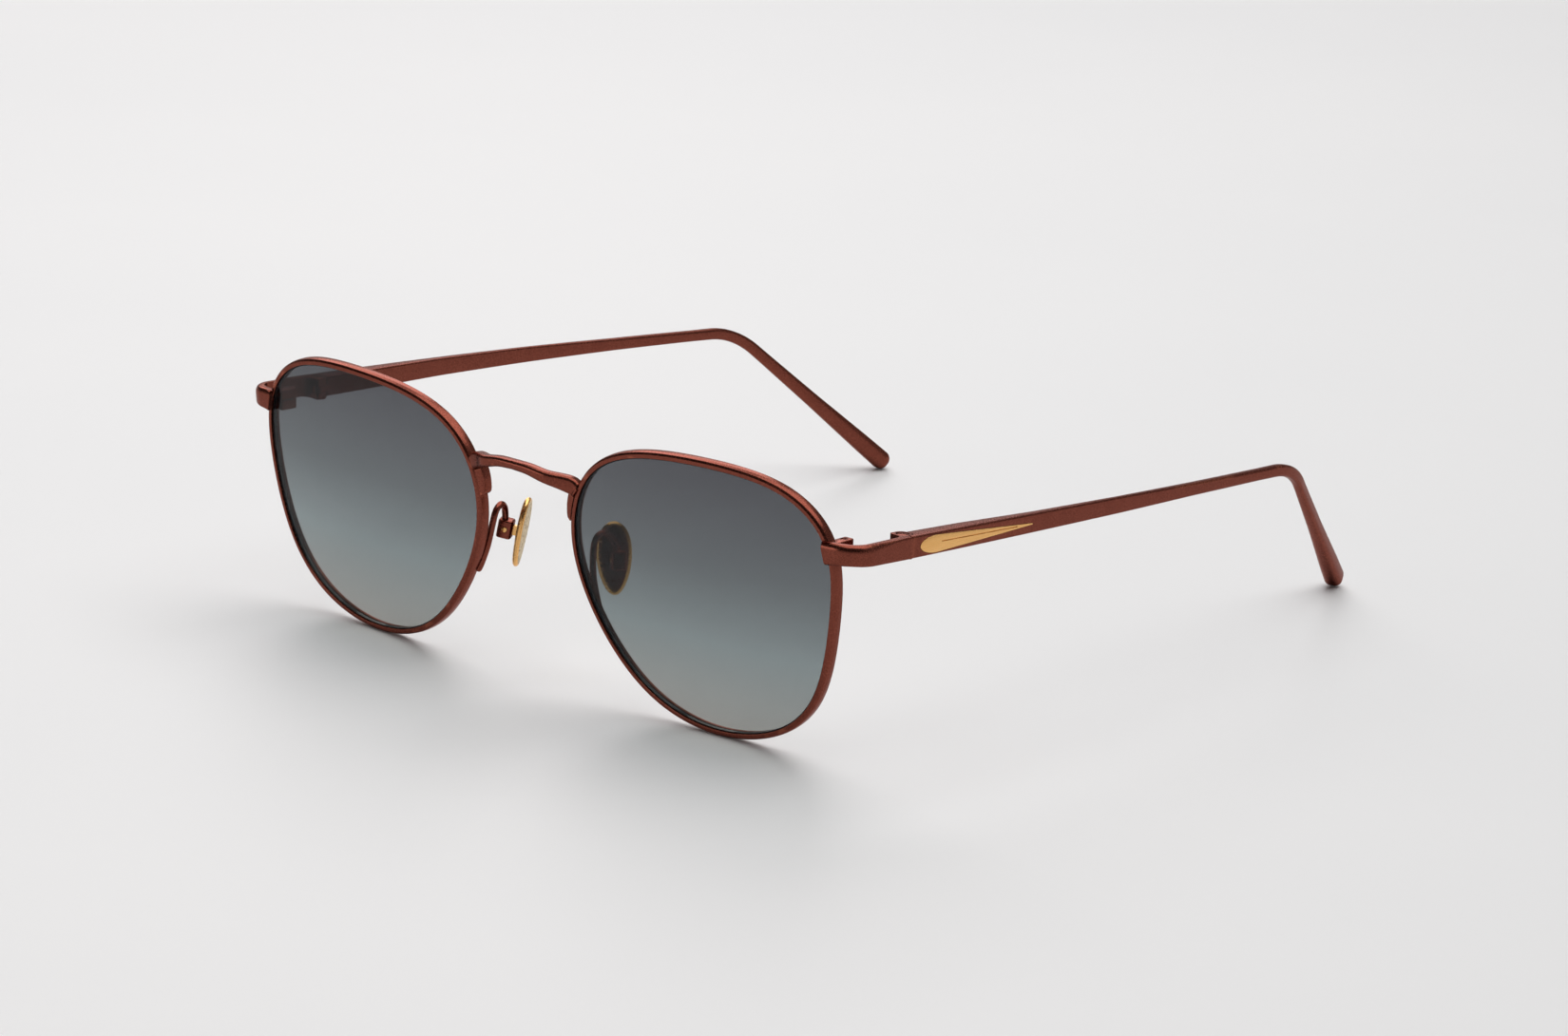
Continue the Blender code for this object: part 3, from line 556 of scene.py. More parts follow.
def make_rim_lock(label, side, looks):
    place = upright(LOCK_SCREW_CENTRE)
    outline = [(BLOCK_CENTRE[0] + x, BLOCK_CENTRE[1] + y)
               for x, y in rounded_rectangle(*BLOCK_SIZE, BLOCK_CORNER, 5)]
    spans = {"upper": (SPLIT_Z + SPLIT_GAP / 2, BLOCK_TOP),
             "lower": (BLOCK_BOTTOM, SPLIT_Z - SPLIT_GAP / 2)}
    for half, (bottom, top) in spans.items():
        block = add_piece(f"lock_block_{half}_{label}", prism(outline, bottom, top), side)
        bevelled(block, BLOCK_EDGE)
        combined(block, rim_envelope(), side)
        combined(block, moved(screw_hole(LOCK_SCREW), place), side)
        finish_piece(block, looks["copper"], "copper_metal", "front",
                     f"closing_block_{half}_{label}")
    make_screw(f"lock_screw_{label}", f"closing_block_screw_{label}", LOCK_SCREW, place,
               LOCK_SLOT_WIDTH, side, looks)


# ---------------------------------------------------------------- end piece and hinge

def end_top(y):
    return END_TOP_FRONT - END_SLOPE * y


def end_height(x, y):
    flare = (END_FLARE_END - x) / (END_FLARE_END - END_OUTER[0][0])
    return END_HEIGHT + END_FLARE * max(0.0, flare) + END_GROWTH * y


def end_piece_outline():
    """Plan outline and how far its edges are rounded off: outer line, barrel, inner line."""
    front, bend, butt = END_OUTER
    mouth = (front[0], (front[1] + END_INNER[0][1]) / 2, 0.0)
    outer = filleted((mouth, (*front, END_MOUTH_RADIUS), (*bend, END_OUTER_RADIUS),
                      (*butt, 0.0)), END_OUTER_STEPS, closed=False)
    barrel = arc(HINGE_AXIS, KNUCKLE_RADIUS, *KNUCKLE_ARC, ARC_STEPS)
    step = [(HINGE_AXIS[0] + x, HINGE_AXIS[1] + y) for x, y in HINGE_STEP]
    inner = filleted((mouth, (*END_INNER[0], END_MOUTH_RADIUS),
                      (*END_INNER[1], END_INNER_RADIUS), (*END_INNER[2], 0.0)),
                     END_INNER_STEPS, closed=False)
    straight = [(butt[0] + (outer[-2][0] - butt[0]) * share,
                 butt[1] + (outer[-2][1] - butt[1]) * share) for share in END_FADE_STOPS]
    outer = outer[:-1] + straight + outer[-1:]
    rounding = [END_TOP_ROUND * end_fade(y) for x, y in outer]
    outline = outer + barrel + step + inner[:0:-1]
    return outline, rounding + [END_ROUND] * (len(outline) - len(rounding))


def end_fade(y):
    """The outer edge's rounding shrinks from the bend towards the hinge."""
    share = min(1.0, max(0.0, (END_OUTER[2][1] - y) / (END_OUTER[2][1] - END_FADE_START)))
    return max(END_BOTTOM_ROUND / END_TOP_ROUND, share * share * (3.0 - 2.0 * share))


def lean_with_lens(point):
    """Tilts the front of the end piece like the lens, fading out towards the hinge."""
    x, y, z = point
    share = min(1.0, max(0.0, (LEAN_END - y) / (LEAN_END - LEAN_START)))
    middle = end_top(y) - END_HEIGHT / 2
    return (x, y + (middle - z) * math.tan(math.radians(TILT)) * share, z)


def end_ring(outline, rounding, turn, bottom):
    """The outline at a turn, 0 to 90 degrees, round its lower or upper edge."""
    points = np.array(outline)
    along = np.roll(points, -1, 0) - np.roll(points, 1, 0)
    inward = np.stack([-along[:, 1], along[:, 0]], -1)
    inward /= np.linalg.norm(inward, axis=1)[:, None]
    ring = []
    for (x, y), (a, b), radius in zip(outline, inward, rounding):
        if bottom:
            radius = min(radius, END_BOTTOM_ROUND)
        inset = radius * (1.0 - math.cos(turn))
        rise = radius * END_ROUND_RISE * (1.0 - math.sin(turn))
        share = 1.0 - rise / end_height(x, y) if bottom else rise / end_height(x, y)
        slant = END_SLANT * share * max(0.0, 1.0 - (x - END_OUTER[0][0]) / END_SLANT_REACH)
        z = end_top(y) - share * end_height(x, y)
        ring.append(lean_with_lens((x + a * inset + slant, y + b * inset, z)))
    return ring


def make_end_piece(label, side, looks):
    outline, rounding = end_piece_outline()
    turns = np.radians(np.linspace(90.0, 0.0, END_ROUND_STEPS + 1))
    rings = [end_ring(outline, rounding, turn, True) for turn in turns]
    rings += [end_ring(outline, rounding, turn, False) for turn in turns[::-1]]
    piece = add_piece(f"end_bar_{label}", ring_solid(rings), side)
    reach = KNUCKLE_RADIUS + KNUCKLE_CLEARANCE
    far = KNUCKLE_SLOT_REACH
    notch = [(-far, far), (-far, -reach)] + arc((0, 0), reach, -90, 0, CLEARANCE_STEPS)
    notch.append((reach, far))
    combined(piece, moved(prism(notch, *KNUCKLE_SPLITS), upright(HINGE_AXIS)), side)
    combined(piece, moved(screw_hole(HINGE_SCREW), upright(HINGE_AXIS)), side)
    combined(piece, rim_envelope(), side)
    finish_piece(piece, looks["copper"], "copper_metal", "front", f"end_piece_{label}")


def make_hinge_screw(label, side, looks):
    place = upright(HINGE_AXIS) @ Matrix.Rotation(math.radians(HINGE_SLOT_TURN), 4, "Z")
    make_screw(f"pivot_screw_{label}", f"hinge_screw_{label}", HINGE_SCREW, place, SLOT_WIDTH,
               side, looks)


# ---------------------------------------------------------------- temple

def quadratic(coefficients, d):
    start, slope, bow = coefficients
    return start + slope * d + bow * d * d


def temple_size(distance):
    """Height, thickness and corner radius of the temple at a distance along it."""
    stops = [row[0] for row in TEMPLE_SECTIONS]
    return [float(np.interp(distance, stops, [row[k] for row in TEMPLE_SECTIONS]))
            for k in (1, 2, 3)]


def temple_line():
    """Centre line: a bowed straight, a round bend and a straight ear leg."""
    line = []
    for d in np.linspace(0.0, TEMPLE_STRAIGHT, TEMPLE_STRAIGHT_STEPS):
        line.append(np.array((quadratic(TEMPLE_OUTER_X, d) - temple_size(d)[1] / 2,
                              TEMPLE_START_Y + d, quadratic(TEMPLE_CENTRE_Z, d))))
    before = line[-1] - line[-BEND_LOOK_BACK]
    before /= np.linalg.norm(before)
    down, inward = math.radians(LEG_DOWN), math.radians(LEG_IN)
    after = np.array((-math.sin(inward) * math.cos(down), math.cos(inward) * math.cos(down),
                      -math.sin(down)))
    angle = math.acos(before @ after)
    normal = after - before * (before @ after)
    normal /= np.linalg.norm(normal)
    start = line[-1]
    for a in np.linspace(0.0, angle, TEMPLE_BEND_STEPS)[1:]:
        line.append(start + BEND_RADIUS * (math.sin(a) * before + (1 - math.cos(a)) * normal))
    start = line[-1]
    line += [start + after * d for d in np.linspace(0.0, LEG_LENGTH, TEMPLE_BEND_STEPS)[1:]]
    return np.array(line)


def temple_stations():
    """Centre, outward, up, distance and share of full size at stations along the temple."""
    line = even_spacing(temple_line(), TEMPLE_LINE_STEPS)
    length = float(np.linalg.norm(np.diff(line, axis=0), axis=1).sum())
    slopes = np.gradient(line, axis=0)
    plain = np.linspace(0.0, length - TIP_ROUNDING, TEMPLE_STATIONS)
    turns = np.linspace(TIP_FIRST, 0.5 * math.pi, TIP_STATIONS)
    tip = length - TIP_ROUNDING * (1.0 - np.sin(turns))
    steps = range(TEMPLE_LINE_STEPS + 1)
    stations = []
    for distance in np.concatenate([plain, tip]):
        k = distance / length * TEMPLE_LINE_STEPS
        at = [np.interp(k, steps, column) for column in line.T]
        along = Vector([np.interp(k, steps, column) for column in slopes.T]).normalized()
        outward = along.cross(Vector((0.0, 0.0, 1.0))).normalized()
        left = (length - distance) / TIP_ROUNDING
        share = 1.0 if left >= 1.0 else max(TIP_LEAST, math.sqrt(1.0 - (1.0 - left) ** 2))
        stations.append((Vector(at), outward, outward.cross(along), distance, share))
    return stations


def temple_rings():
    rings = []
    for centre, outward, up, distance, share in temple_stations():
        height, thickness, corner = temple_size(distance)
        section = rounded_rectangle(thickness * share, height * share,
                                    min(corner, thickness * TEMPLE_CORNER_LIMIT) * share, 5)
        rings.append([centre + outward * a + up * b for a, b in section])
    return rings


def hinge_clearance():
    """Solid, about the hinge axis, that the temple leaves to the end piece."""
    reach = KNUCKLE_RADIUS + KNUCKLE_CLEARANCE
    inner, front = HINGE_ROOM_REACH
    outline = [(inner, reach), (inner, front), (reach, front)]
    outline += arc((0, 0), reach, 0, 90, CLEARANCE_STEPS)
    return moved(prism(outline, *HINGE_ROOM), upright(HINGE_AXIS))


def temple_knuckle():
    inner, back = TEMPLE_KNUCKLE_ROOT
    outline = arc((0, 0), KNUCKLE_RADIUS, *TEMPLE_KNUCKLE_ARC, ARC_STEPS)
    outline += [(KNUCKLE_RADIUS, back), (inner, back)]
    low, high = KNUCKLE_SPLITS
    return moved(prism(outline, low + KNUCKLE_GAP, high - KNUCKLE_GAP), upright(HINGE_AXIS))


def make_temple(label, side, looks):
    temple = add_piece(f"side_arm_{label}", ring_solid(temple_rings()), side)
    combined(temple, hinge_clearance(), side)
    combined(temple, temple_knuckle(), side, "UNION")
    combined(temple, moved(screw_hole(HINGE_SCREW), upright(HINGE_AXIS)), side)
    combined(temple, inlay_solid(INLAY_POCKET_GAP), side)
    finish_piece(temple, looks["copper"], "copper_metal", f"temple_{label}", f"temple_{label}")


def inlay_half_height(share):
    """Round at the front, a long straight taper to the back."""
    if share < INLAY_NOSE:
        left = 1.0 - share / INLAY_NOSE
        return INLAY_HALF_HEIGHT * math.sqrt(max(0.02, 1.0 - left * left))
    taper = (share - INLAY_NOSE) / (1.0 - INLAY_NOSE)
    return INLAY_HALF_HEIGHT + (INLAY_TAIL_HALF_HEIGHT - INLAY_HALF_HEIGHT) * taper


def inlay_solid(gap):
    """The thin plate let into the temple; gap grows it into its pocket."""
    rings = []
    for k in range(INLAY_STATIONS + 1):
        share = (k / INLAY_STATIONS) ** INLAY_SPACING
        d = INLAY_START + share * INLAY_LENGTH
        if k in (0, INLAY_STATIONS):
            d += gap if k else -gap
        half = inlay_half_height(share) + gap
        face_x = quadratic(TEMPLE_OUTER_X, d)
        z = quadratic(TEMPLE_CENTRE_Z, d)
        inner = face_x - INLAY_SINK - gap
        outer = face_x + (INLAY_POCKET_REACH if gap else INLAY_PROUD)
        y = TEMPLE_START_Y + d
        rings.append([(inner, y, z - half), (outer, y, z - half), (outer, y, z + half),
                      (inner, y, z + half)])
    return ring_solid(rings)


def inlay_groove():
    """One fine line engraved along the middle of the inlay."""
    start, end = INLAY_START + GROOVE_START, INLAY_START + GROOVE_END * INLAY_LENGTH
    line = [(quadratic(TEMPLE_OUTER_X, d) + INLAY_PROUD, TEMPLE_START_Y + d,
             quadratic(TEMPLE_CENTRE_Z, d) + GROOVE_RISE * (1.0 - d / INLAY_LENGTH))
            for d in np.linspace(start, end, GROOVE_STEPS)]
    return swept(line, GROOVE_RADIUS, 6)


def make_inlay(label, side, looks):
    inlay = add_piece(f"arm_inlay_{label}", inlay_solid(0.0), side, 25.0)
    bevelled(inlay, INLAY_EDGE, 2, 60.0)
    combined(inlay, inlay_groove(), side)
    finish_piece(inlay, looks["gold"], "gold_metal", f"temple_{label}", f"temple_inlay_{label}")


# ---------------------------------------------------------------- bridge

def make_bridge(looks):
    half = open_spline(BRIDGE_LINE, BRIDGE_STEPS)
    line = np.concatenate([half[:0:-1] * (-1, 1, 1, 1), half])
    slopes = np.gradient(line[:, :3], axis=0)
    rings = []
    for (*centre, height), slope in zip(line, slopes):
        along = Vector(slope).normalized()
        backward = Vector((0.0, 0.0, 1.0)).cross(along).normalized()
        up = along.cross(backward)
        rings.append([Vector(centre) + backward * a + up * b
                      for a, b in rounded_rectangle(BRIDGE_DEPTH, height, BRIDGE_CORNER, 6)])
    bridge = add_piece("nose_bridge", ring_solid(rings), 1, BRIDGE_SHARP)
    for side in SIDES.values():
        combined(bridge, rim_envelope(), side)
    finish_piece(bridge, looks["copper"], "copper_metal", "front", "bridge")


def make_bridge_foot(label, side, looks):
    points, outward = rim_curve(RIM_STEPS * 4)
    nose_side = [k for k in range(len(points)) if outward[k][0] < -0.5]
    near = RIM_WALL - FOOT_SEAT
    front, back = FOOT_DEPTHS
    rings = []
    for share in np.sin(np.linspace(0.0, 0.5 * math.pi, FOOT_STATIONS)):
        z = FOOT_RANGE[0] + share * (FOOT_RANGE[1] - FOOT_RANGE[0])
        nearest = min(nose_side, key=lambda k: abs(lens_point(*points[k], 0.0).z - z))
        p, n = points[nearest], outward[nearest]
        left = min(1.0, (1.0 - share) / FOOT_TIP)
        tip = max(FOOT_TIP_LEAST, math.sqrt(max(0.0, 1.0 - (1.0 - left) ** 2)))
        thickness = FOOT_THICKNESS * (1.0 - FOOT_TAPER * share * share) * tip
        reach = RIM_WALL + thickness
        corner = min(FOOT_CORNER, 0.4 * (reach - near))
        section = filleted(((near, front, 0.02), (reach, front, corner),
                            (reach, back, corner), (near, back, 0.02)), 5)
        rings.append([lens_point(*(p + n * out), depth) for out, depth in section])
    foot = add_piece(f"bridge_root_{label}", ring_solid(rings), side)
    finish_piece(foot, looks["copper"], "copper_metal", "front", f"bridge_foot_{label}")


# ---------------------------------------------------------------- nose pad

def pad_place(offset_out=0.0):
    """Axes of the pad: x from the nose outwards, y from front to back, z up the pad."""
    splay, lean = math.radians(PAD_SPLAY), math.radians(PAD_LEAN)
    across = Vector((math.sin(splay), math.cos(splay), 0.0))
    up = Vector((-math.sin(lean), 0.0, math.cos(lean)))
    out = across.cross(up).normalized()
    frame = Matrix((out, across, out.cross(across))).transposed()
    return Matrix.Translation(Vector(PAD_CENTRE) + out * offset_out) @ frame.to_4x4()


def pad_outline(grow):
    """Egg shape in the pad's own y and z, wider at the top."""
    outline = []
    for a in np.linspace(0.0, 2.0 * math.pi, PAD_STEPS, endpoint=False):
        width = PAD_WIDTH / 2 * (1.0 + PAD_EGG * math.sin(a)) + grow
        outline.append((width * math.cos(a), (PAD_HEIGHT / 2 + grow) * math.sin(a)))
    return outline


def pad_solid(layers):
    rings = [[(x, y, z) for y, z in pad_outline(grow)] for x, grow in layers]
    return moved(ring_solid(rings), pad_place())


def pad_tab():
    """The round-ended tab that the clip box holds."""
    root = PAD_BACK - TAB_SINK
    outline = [(root, -TAB_HALF_HEIGHT), (root, TAB_HALF_HEIGHT)]
    outline += arc((BOX_OFFSET, 0.0), TAB_HALF_HEIGHT, 90, -90, CLEARANCE_STEPS)
    rings = [[(x, y, z) for x, z in outline] for y in (-TAB_THICKNESS / 2, TAB_THICKNESS / 2)]
    return moved(ring_solid(rings), pad_place())


def centred_block(xs, half_width, half_height):
    """A plain box between two x values, centred in y and z."""
    near, far = xs
    outline = ((near, -half_width), (far, -half_width), (far, half_width), (near, half_width))
    return prism(outline, -half_height, half_height)


def make_nose_pad(label, side, looks):
    body = f"nose_pad_{label}"
    plate = add_piece(f"pad_plate_{label}", pad_solid(PLATE_LAYERS), side)
    combined(plate, pad_tab(), side, "UNION")
    combined(plate, moved(screw_hole(PAD_SCREW), pad_screw_place()), side)
    finish_piece(plate, looks["gold"], "gold_metal", body, body)
    face = add_piece(f"pad_face_{label}", pad_solid(FACE_LAYERS), side)
    finish_piece(face, looks["pad_face"], "gold_metal", body)
    back = add_piece(f"pad_back_{label}", pad_solid(BACK_LAYERS), side)
    tab_room = centred_block((-1.0, 1.0), TAB_THICKNESS / 2 + TAB_GAP,
                             TAB_HALF_HEIGHT + TAB_GAP)
    combined(back, moved(tab_room, pad_place()), side)
    finish_piece(back, looks["copper"], "copper_metal", body)


def make_pad_box(label, side, looks):
    deep, wide, tall = BOX_SIZE
    outline = rounded_rectangle(deep, wide, BOX_CORNER, 6)
    box = add_piece(f"clip_box_{label}",
                    moved(prism(outline, -tall / 2, tall / 2), pad_place(BOX_OFFSET)), side)
    bevelled(box, BOX_EDGE, 5)
    slot = centred_block(BOX_SLOT_DEPTHS, BOX_SLOT / 2, BOX_SLOT_HALF_HEIGHT)
    combined(box, moved(slot, pad_place(BOX_OFFSET)), side)
    combined(box, moved(screw_hole(PAD_SCREW), pad_screw_place()), side)
    finish_piece(box, looks["copper"], "copper_metal", "front", f"pad_box_{label}")


def pad_screw_place():
    """Lays the screw, made about Z, through the box with its head at the front."""
    return pad_place(BOX_OFFSET) @ Matrix.Rotation(math.radians(90.0), 4, "X")


def make_pad_screw(label, side, looks):
    screw = add_piece(f"pad_pin_{label}", moved(screw_solid(PAD_SCREW), pad_screw_place()), side)
    bevelled(screw, 0.05, 2)
    finish_piece(screw, looks["gold"], "gold_metal", "front", f"pad_screw_{label}")


def arm_size(share):
    """Rounds off the wire's start on the rim; the wire is full size beyond it."""
    left = 1.0 - min(1.0, share / ARM_DOME)
    return max(ARM_DOME_LEAST, math.sqrt(1.0 - left * left))


def make_pad_arm(label, side, looks):
    line = open_spline(ARM_LINE, ARM_STEPS)
    arm = add_piece(f"pad_wire_{label}", swept(line, ARM_RADIUS, 20, arm_size), side)
    combined(arm, rim_envelope(), side)
    finish_piece(arm, looks["copper"], "copper_metal", "front", f"pad_arm_{label}")


# ---------------------------------------------------------------- materials

def node(tree, kind, **settings):
    made = tree.nodes.new(kind)
    for name, value in settings.items():
        setattr(made, name, value)
    return made


def new_look(name, **sockets):
    """A Principled material with the given constant sockets set."""
    look = bpy.data.materials.new(name)
    look.use_nodes = True
    shader = look.node_tree.nodes["Principled BSDF"]
    for socket, value in sockets.items():
        shader.inputs[socket.replace("_", " ")].default_value = value
    return look, look.node_tree, shader


def noise(tree, scale, detail=2.0, roughness=0.5, stretch=(1.0, 1.0, 1.0)):
    """Noise over the object's own coordinates, in metres; stretch squeezes an axis."""
    place = node(tree, "ShaderNodeTexCoord")
    mapping = node(tree, "ShaderNodeMapping")
    mapping.inputs["Scale"].default_value = stretch
    texture = node(tree, "ShaderNodeTexNoise")
    texture.inputs["Scale"].default_value = scale
    texture.inputs["Detail"].default_value = detail
    texture.inputs["Roughness"].default_value = roughness
    tree.links.new(place.outputs["Object"], mapping.inputs["Vector"])
    tree.links.new(mapping.outputs["Vector"], texture.inputs["Vector"])
    return texture.outputs["Fac"]


def ramp(tree, factor, stops):
    """Colours or greys along a 0 to 1 factor."""
    made = node(tree, "ShaderNodeValToRGB")
    elements = made.color_ramp.elements
    while len(elements) < len(stops):
        elements.new(0.5)
    for element, (place, colour) in zip(elements, stops):
        element.position = place
        element.color = (*colour, 1.0) if isinstance(colour, tuple) else (colour,) * 3 + (1.0,)
    tree.links.new(factor, made.inputs["Fac"])
    return made.outputs["Color"]


def blend(tree, factor, first, second):
    """Mixes two colours or greys; each input is a socket or a constant."""
    made = node(tree, "ShaderNodeMixRGB")
    for name, value in (("Fac", factor), ("Color1", first), ("Color2", second)):
        if isinstance(value, bpy.types.NodeSocket):
            tree.links.new(value, made.inputs[name])
        elif isinstance(value, tuple):
            made.inputs[name].default_value = (*value, 1.0)
        else:
            made.inputs[name].default_value = value
    return made.outputs["Color"]


def bump(tree, shader, height, strength, distance):
    made = node(tree, "ShaderNodeBump")
    made.inputs["Strength"].default_value = strength
    made.inputs["Distance"].default_value = distance
    tree.links.new(height, made.inputs["Height"])
    tree.links.new(made.outputs["Normal"], shader.inputs["Normal"])


def copper_look():
    """Satin copper-brown plating with a fine grain, and a painted highlight that brightens its
    edges.
    """
    look, tree, shader = new_look("satin_copper", Metallic=1.0, Coat_Weight=0.05,
                                  Coat_Roughness=0.25, Coat_IOR=1.5,
                                  Specular_Tint=(0.80, 0.66, 0.64, 1.0))
    grain = noise(tree, 5200.0, 3.0, 0.6)
    patches = noise(tree, 420.0, 3.0)
    mixed = blend(tree, 0.12, grain, patches)
    colour = ramp(tree, mixed, [(0.34, (0.146, 0.037, 0.024)), (0.66, (0.240, 0.065, 0.042))])
    # Painted highlight: edges, found by their pointiness, are blended towards a light orange
    # copper.
    edges = node(tree, "ShaderNodeNewGeometry").outputs["Pointiness"]
    edge_highlight = ramp(tree, edges, [(0.52, 0.0), (0.62, 0.55)])
    edge_highlighted = blend(tree, edge_highlight, colour, (0.42, 0.125, 0.072))
    tree.links.new(edge_highlighted, shader.inputs["Base Color"])
    rough = ramp(tree, mixed, [(0.3, 0.20), (0.7, 0.31)])
    tree.links.new(rough, shader.inputs["Roughness"])
    bump(tree, shader, grain, 0.4, 0.00003)
    return look


def gold_look():
    """Polished pale gold with very fine brushing along the temple."""
    look, tree, shader = new_look("brushed_gold", Metallic=1.0)
    grain = noise(tree, 900.0, 3.0, stretch=(3.0, 0.25, 6.0))
    colour = ramp(tree, grain, [(0.3, (0.85, 0.46, 0.155)), (0.7, (0.91, 0.52, 0.195))])
    tree.links.new(colour, shader.inputs["Base Color"])
    tree.links.new(ramp(tree, grain, [(0.3, 0.20), (0.7, 0.30)]), shader.inputs["Roughness"])
    bump(tree, shader, grain, 0.12, 0.00002)
    return look


def pad_face_look():
    """Pale, finely pitted face of the nose pad."""
    look, tree, shader = new_look("pitted_cream_gold", Metallic=0.55)
    pits = noise(tree, 2600.0, 2.0)
    colour = ramp(tree, pits, [(0.36, (0.42, 0.28, 0.14)), (0.5, (0.80, 0.66, 0.44))])
    tree.links.new(colour, shader.inputs["Base Color"])
    tree.links.new(ramp(tree, pits, [(0.3, 0.62), (0.7, 0.45)]), shader.inputs["Roughness"])
    bump(tree, shader, pits, 0.5, 0.00006)
    return look


def tint(tree, bottom, top, stops):
    """Stops along the object's height between two heights in metres."""
    place = node(tree, "ShaderNodeTexCoord")
    split = node(tree, "ShaderNodeSeparateXYZ")
    height = node(tree, "ShaderNodeMapRange")
    height.inputs["From Min"].default_value = bottom
    height.inputs["From Max"].default_value = top
    tree.links.new(place.outputs["Object"], split.inputs["Vector"])
    tree.links.new(split.outputs["Z"], height.inputs["Value"])
    return ramp(tree, height.outputs["Result"], stops)


def lens_look():
    """Glossy lens that filters what is behind it: darkest at the top, teal lower down."""
    look, tree, shader = new_look("gradient_tint", Roughness=0.02, IOR=1.5)
    body = tint(tree, 0.0, LENS_TINT_TOP,
                [(0.0, (0.006, 0.010, 0.012)), (1.0, (0.002, 0.003, 0.005))])
    tree.links.new(body, shader.inputs["Base Color"])
    clear = node(tree, "ShaderNodeBsdfTransparent")
    filtered = tint(tree, 0.0, LENS_TINT_TOP, [
        (0.0, (1.0, 1.0, 0.97)), (0.35, (0.835, 0.905, 0.915)),
        (0.62, (0.635, 0.67, 0.69)), (1.0, (0.50, 0.505, 0.535))])
    tree.links.new(filtered, clear.inputs["Color"])
    mix = node(tree, "ShaderNodeMixShader")
    mix.inputs["Fac"].default_value = LENS_BODY_SHARE
    tree.links.new(clear.outputs["BSDF"], mix.inputs[1])
    tree.links.new(shader.outputs["BSDF"], mix.inputs[2])
    tree.links.new(mix.outputs["Shader"], tree.nodes["Material Output"].inputs["Surface"])
    return look


def lens_edge_shade_look():
    """Ground edge of the lens, painted dark grey as the shade in the rim's groove, with the fine
    marks of the grinding.
    """
    look, tree, shader = new_look("lens_edge_painted_shade", IOR=1.5)
    grain = noise(tree, 3000.0, 2.0)
    # Painted shade: near-black greys that stand for the shadow in the rim's groove round the
    # lens.
    colour = ramp(tree, grain, [(0.3, (0.036, 0.042, 0.045)), (0.7, (0.062, 0.071, 0.076))])
    tree.links.new(colour, shader.inputs["Base Color"])
    tree.links.new(ramp(tree, grain, [(0.3, 0.35), (0.7, 0.55)]), shader.inputs["Roughness"])
    return look


def floor_look():
    look, tree, shader = new_look("pale_floor", Roughness=0.55)
    colour = ramp(tree, noise(tree, 3.0, 4.0),
                  [(0.3, (0.80, 0.80, 0.80)), (0.7, (0.84, 0.835, 0.83))])
    tree.links.new(colour, shader.inputs["Base Color"])
    return look


# ---------------------------------------------------------------- studio

def add_floor():
    bm = bmesh.new()
    bmesh.ops.create_grid(bm, x_segments=4, y_segments=4, size=4.0)
    mesh = bpy.data.meshes.new("floor")
    bm.to_mesh(mesh)
    bm.free()
    mesh.materials.append(floor_look())
    floor = bpy.data.objects.new("floor", mesh)
    bpy.context.collection.objects.link(floor)


def add_softbox(name, place, aim, size, power, colour=(1.0, 1.0, 1.0)):
    light = bpy.data.lights.new(name, "AREA")
    light.shape = "RECTANGLE"
    light.size, light.size_y = size
    light.energy = power
    light.color = colour
    item = bpy.data.objects.new(name, light)
    item.location = place
    item.rotation_euler = (Vector(aim) - Vector(place)).to_track_quat("-Z", "Y").to_euler()
    bpy.context.collection.objects.link(item)


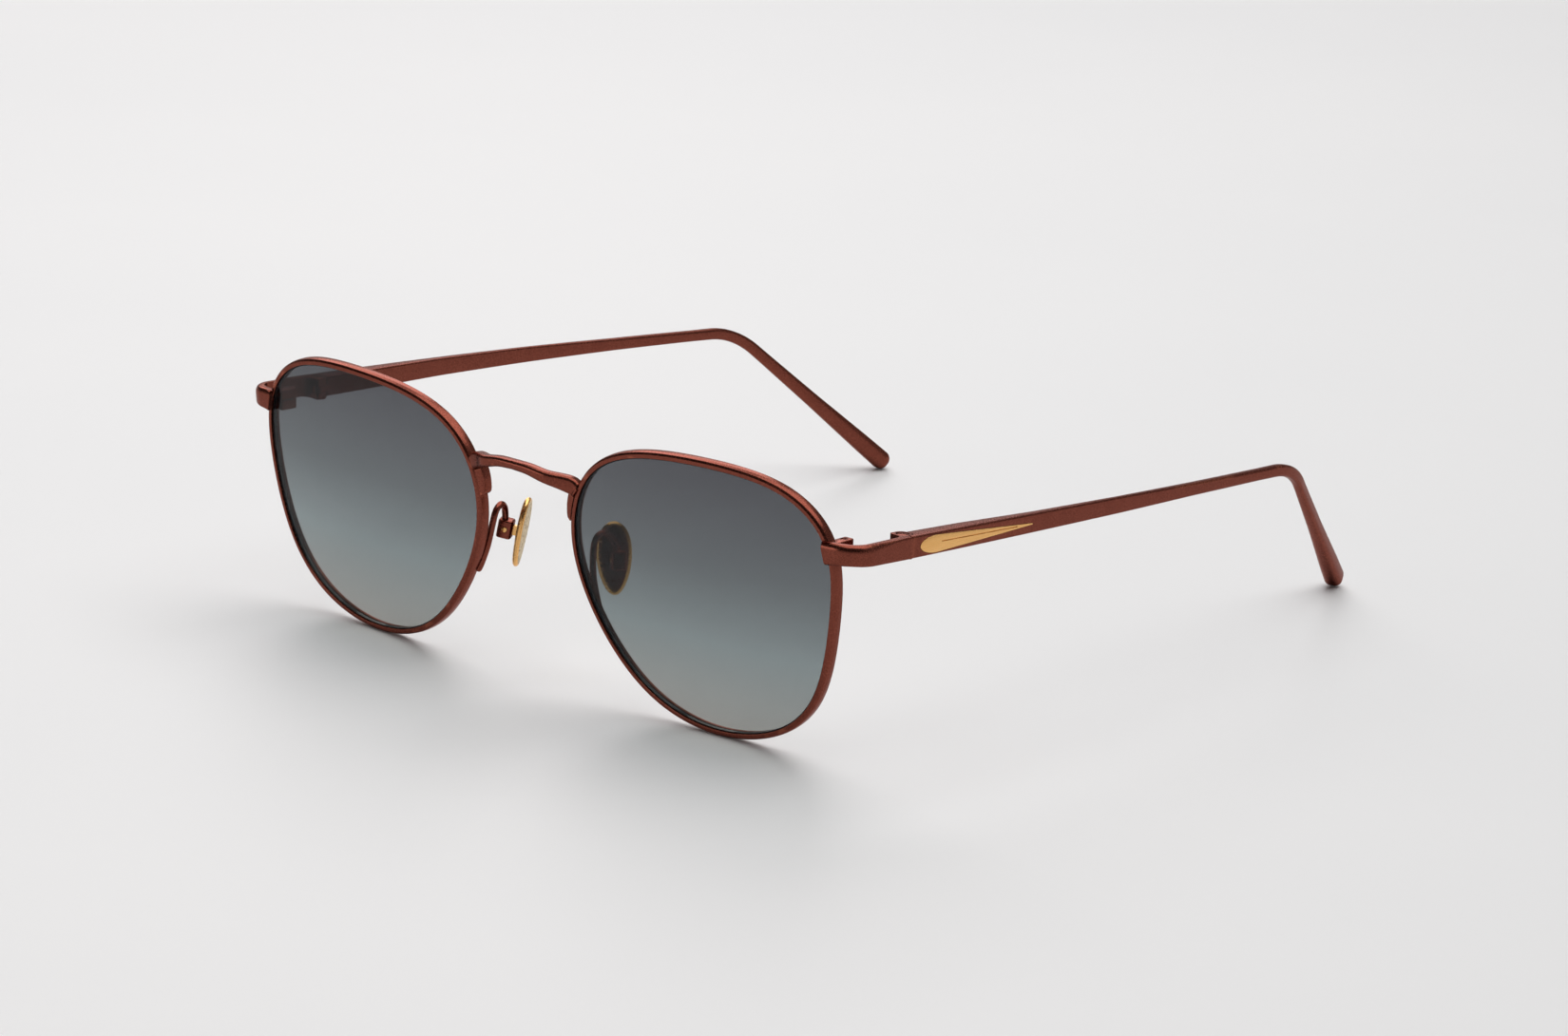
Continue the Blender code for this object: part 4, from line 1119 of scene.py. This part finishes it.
def add_world():
    """A pale room whose upper part is dark on the camera's side and dim behind the object."""
    world = bpy.data.worlds.new("studio")
    world.use_nodes = True
    tree = world.node_tree
    background = tree.nodes["Background"]
    place = node(tree, "ShaderNodeTexCoord")
    split = node(tree, "ShaderNodeSeparateXYZ")
    tree.links.new(place.outputs["Generated"], split.inputs["Vector"])
    front = ramp(tree, split.outputs["Z"], [(0.0, 0.85), (0.05, 0.6), (0.13, 0.05), (1.0, 0.08)])
    back = ramp(tree, split.outputs["Z"], [(0.0, 0.75), (0.1, 0.5), (0.3, 0.3), (1.0, 0.2)])
    side = node(tree, "ShaderNodeMapRange", interpolation_type="SMOOTHSTEP")
    side.inputs["From Min"].default_value = -0.3
    side.inputs["From Max"].default_value = 0.5
    tree.links.new(split.outputs["Y"], side.inputs["Value"])
    sky = blend(tree, side.outputs["Result"], front, back)
    tree.links.new(sky, background.inputs["Color"])
    background.inputs["Strength"].default_value = 0.9
    bpy.context.scene.world = world


def add_lights():
    """A key softbox at the back left, a wide one overhead and a low fill in front."""
    middle = (0.0, 0.0, 0.02)
    add_softbox("overhead_softbox", (0.1, 0.2, 1.3), middle, (1.6, 1.6), 16.0)
    add_softbox("left_key", (-1.45, 0.95, 1.15), middle, (1.5, 1.0), 14.0, (1.0, 0.97, 0.98))
    add_softbox("front_low_fill", (-0.75, -1.3, 0.28), middle, (1.2, 0.35), 3.0)


def add_camera():
    azimuth, elevation = math.radians(CAMERA_AZIMUTH), math.radians(CAMERA_ELEVATION)
    roll = math.radians(CAMERA_ROLL)
    right = Vector((math.cos(azimuth), math.sin(azimuth), 0.0))
    back = Vector((math.sin(azimuth) * math.cos(elevation),
                   -math.cos(azimuth) * math.cos(elevation), math.sin(elevation)))
    up = back.cross(right)
    rolled_right = math.cos(roll) * right + math.sin(roll) * up
    rolled_up = math.cos(roll) * up - math.sin(roll) * right
    data = bpy.data.cameras.new("camera")
    data.lens = FOCAL_LENGTH
    data.sensor_width = SENSOR_WIDTH
    data.clip_start = 0.01
    camera = bpy.data.objects.new("camera", data)
    camera.matrix_world = (Matrix.Translation(Vector(CAMERA_PLACE) * MM)
                           @ Matrix((rolled_right, rolled_up, back)).transposed().to_4x4())
    bpy.context.collection.objects.link(camera)
    bpy.context.scene.camera = camera


# ---------------------------------------------------------------- assembly

SIDE_MAKERS = (make_rim, make_lens, make_rim_lock, make_end_piece, make_hinge_screw, make_temple,
               make_inlay, make_bridge_foot, make_nose_pad, make_pad_box, make_pad_screw,
               make_pad_arm)

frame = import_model()
bpy.context.scene.view_settings.view_transform = "Standard"
looks = {"copper": copper_look(), "gold": gold_look(), "pad_face": pad_face_look(),
         "lens": lens_look(), "lens_edge": lens_edge_shade_look()}
for side_label, side_sign in SIDES.items():
    for maker in SIDE_MAKERS:
        maker(side_label, side_sign, looks)
make_bridge(looks)
add_floor()
add_world()
add_lights()
add_camera()
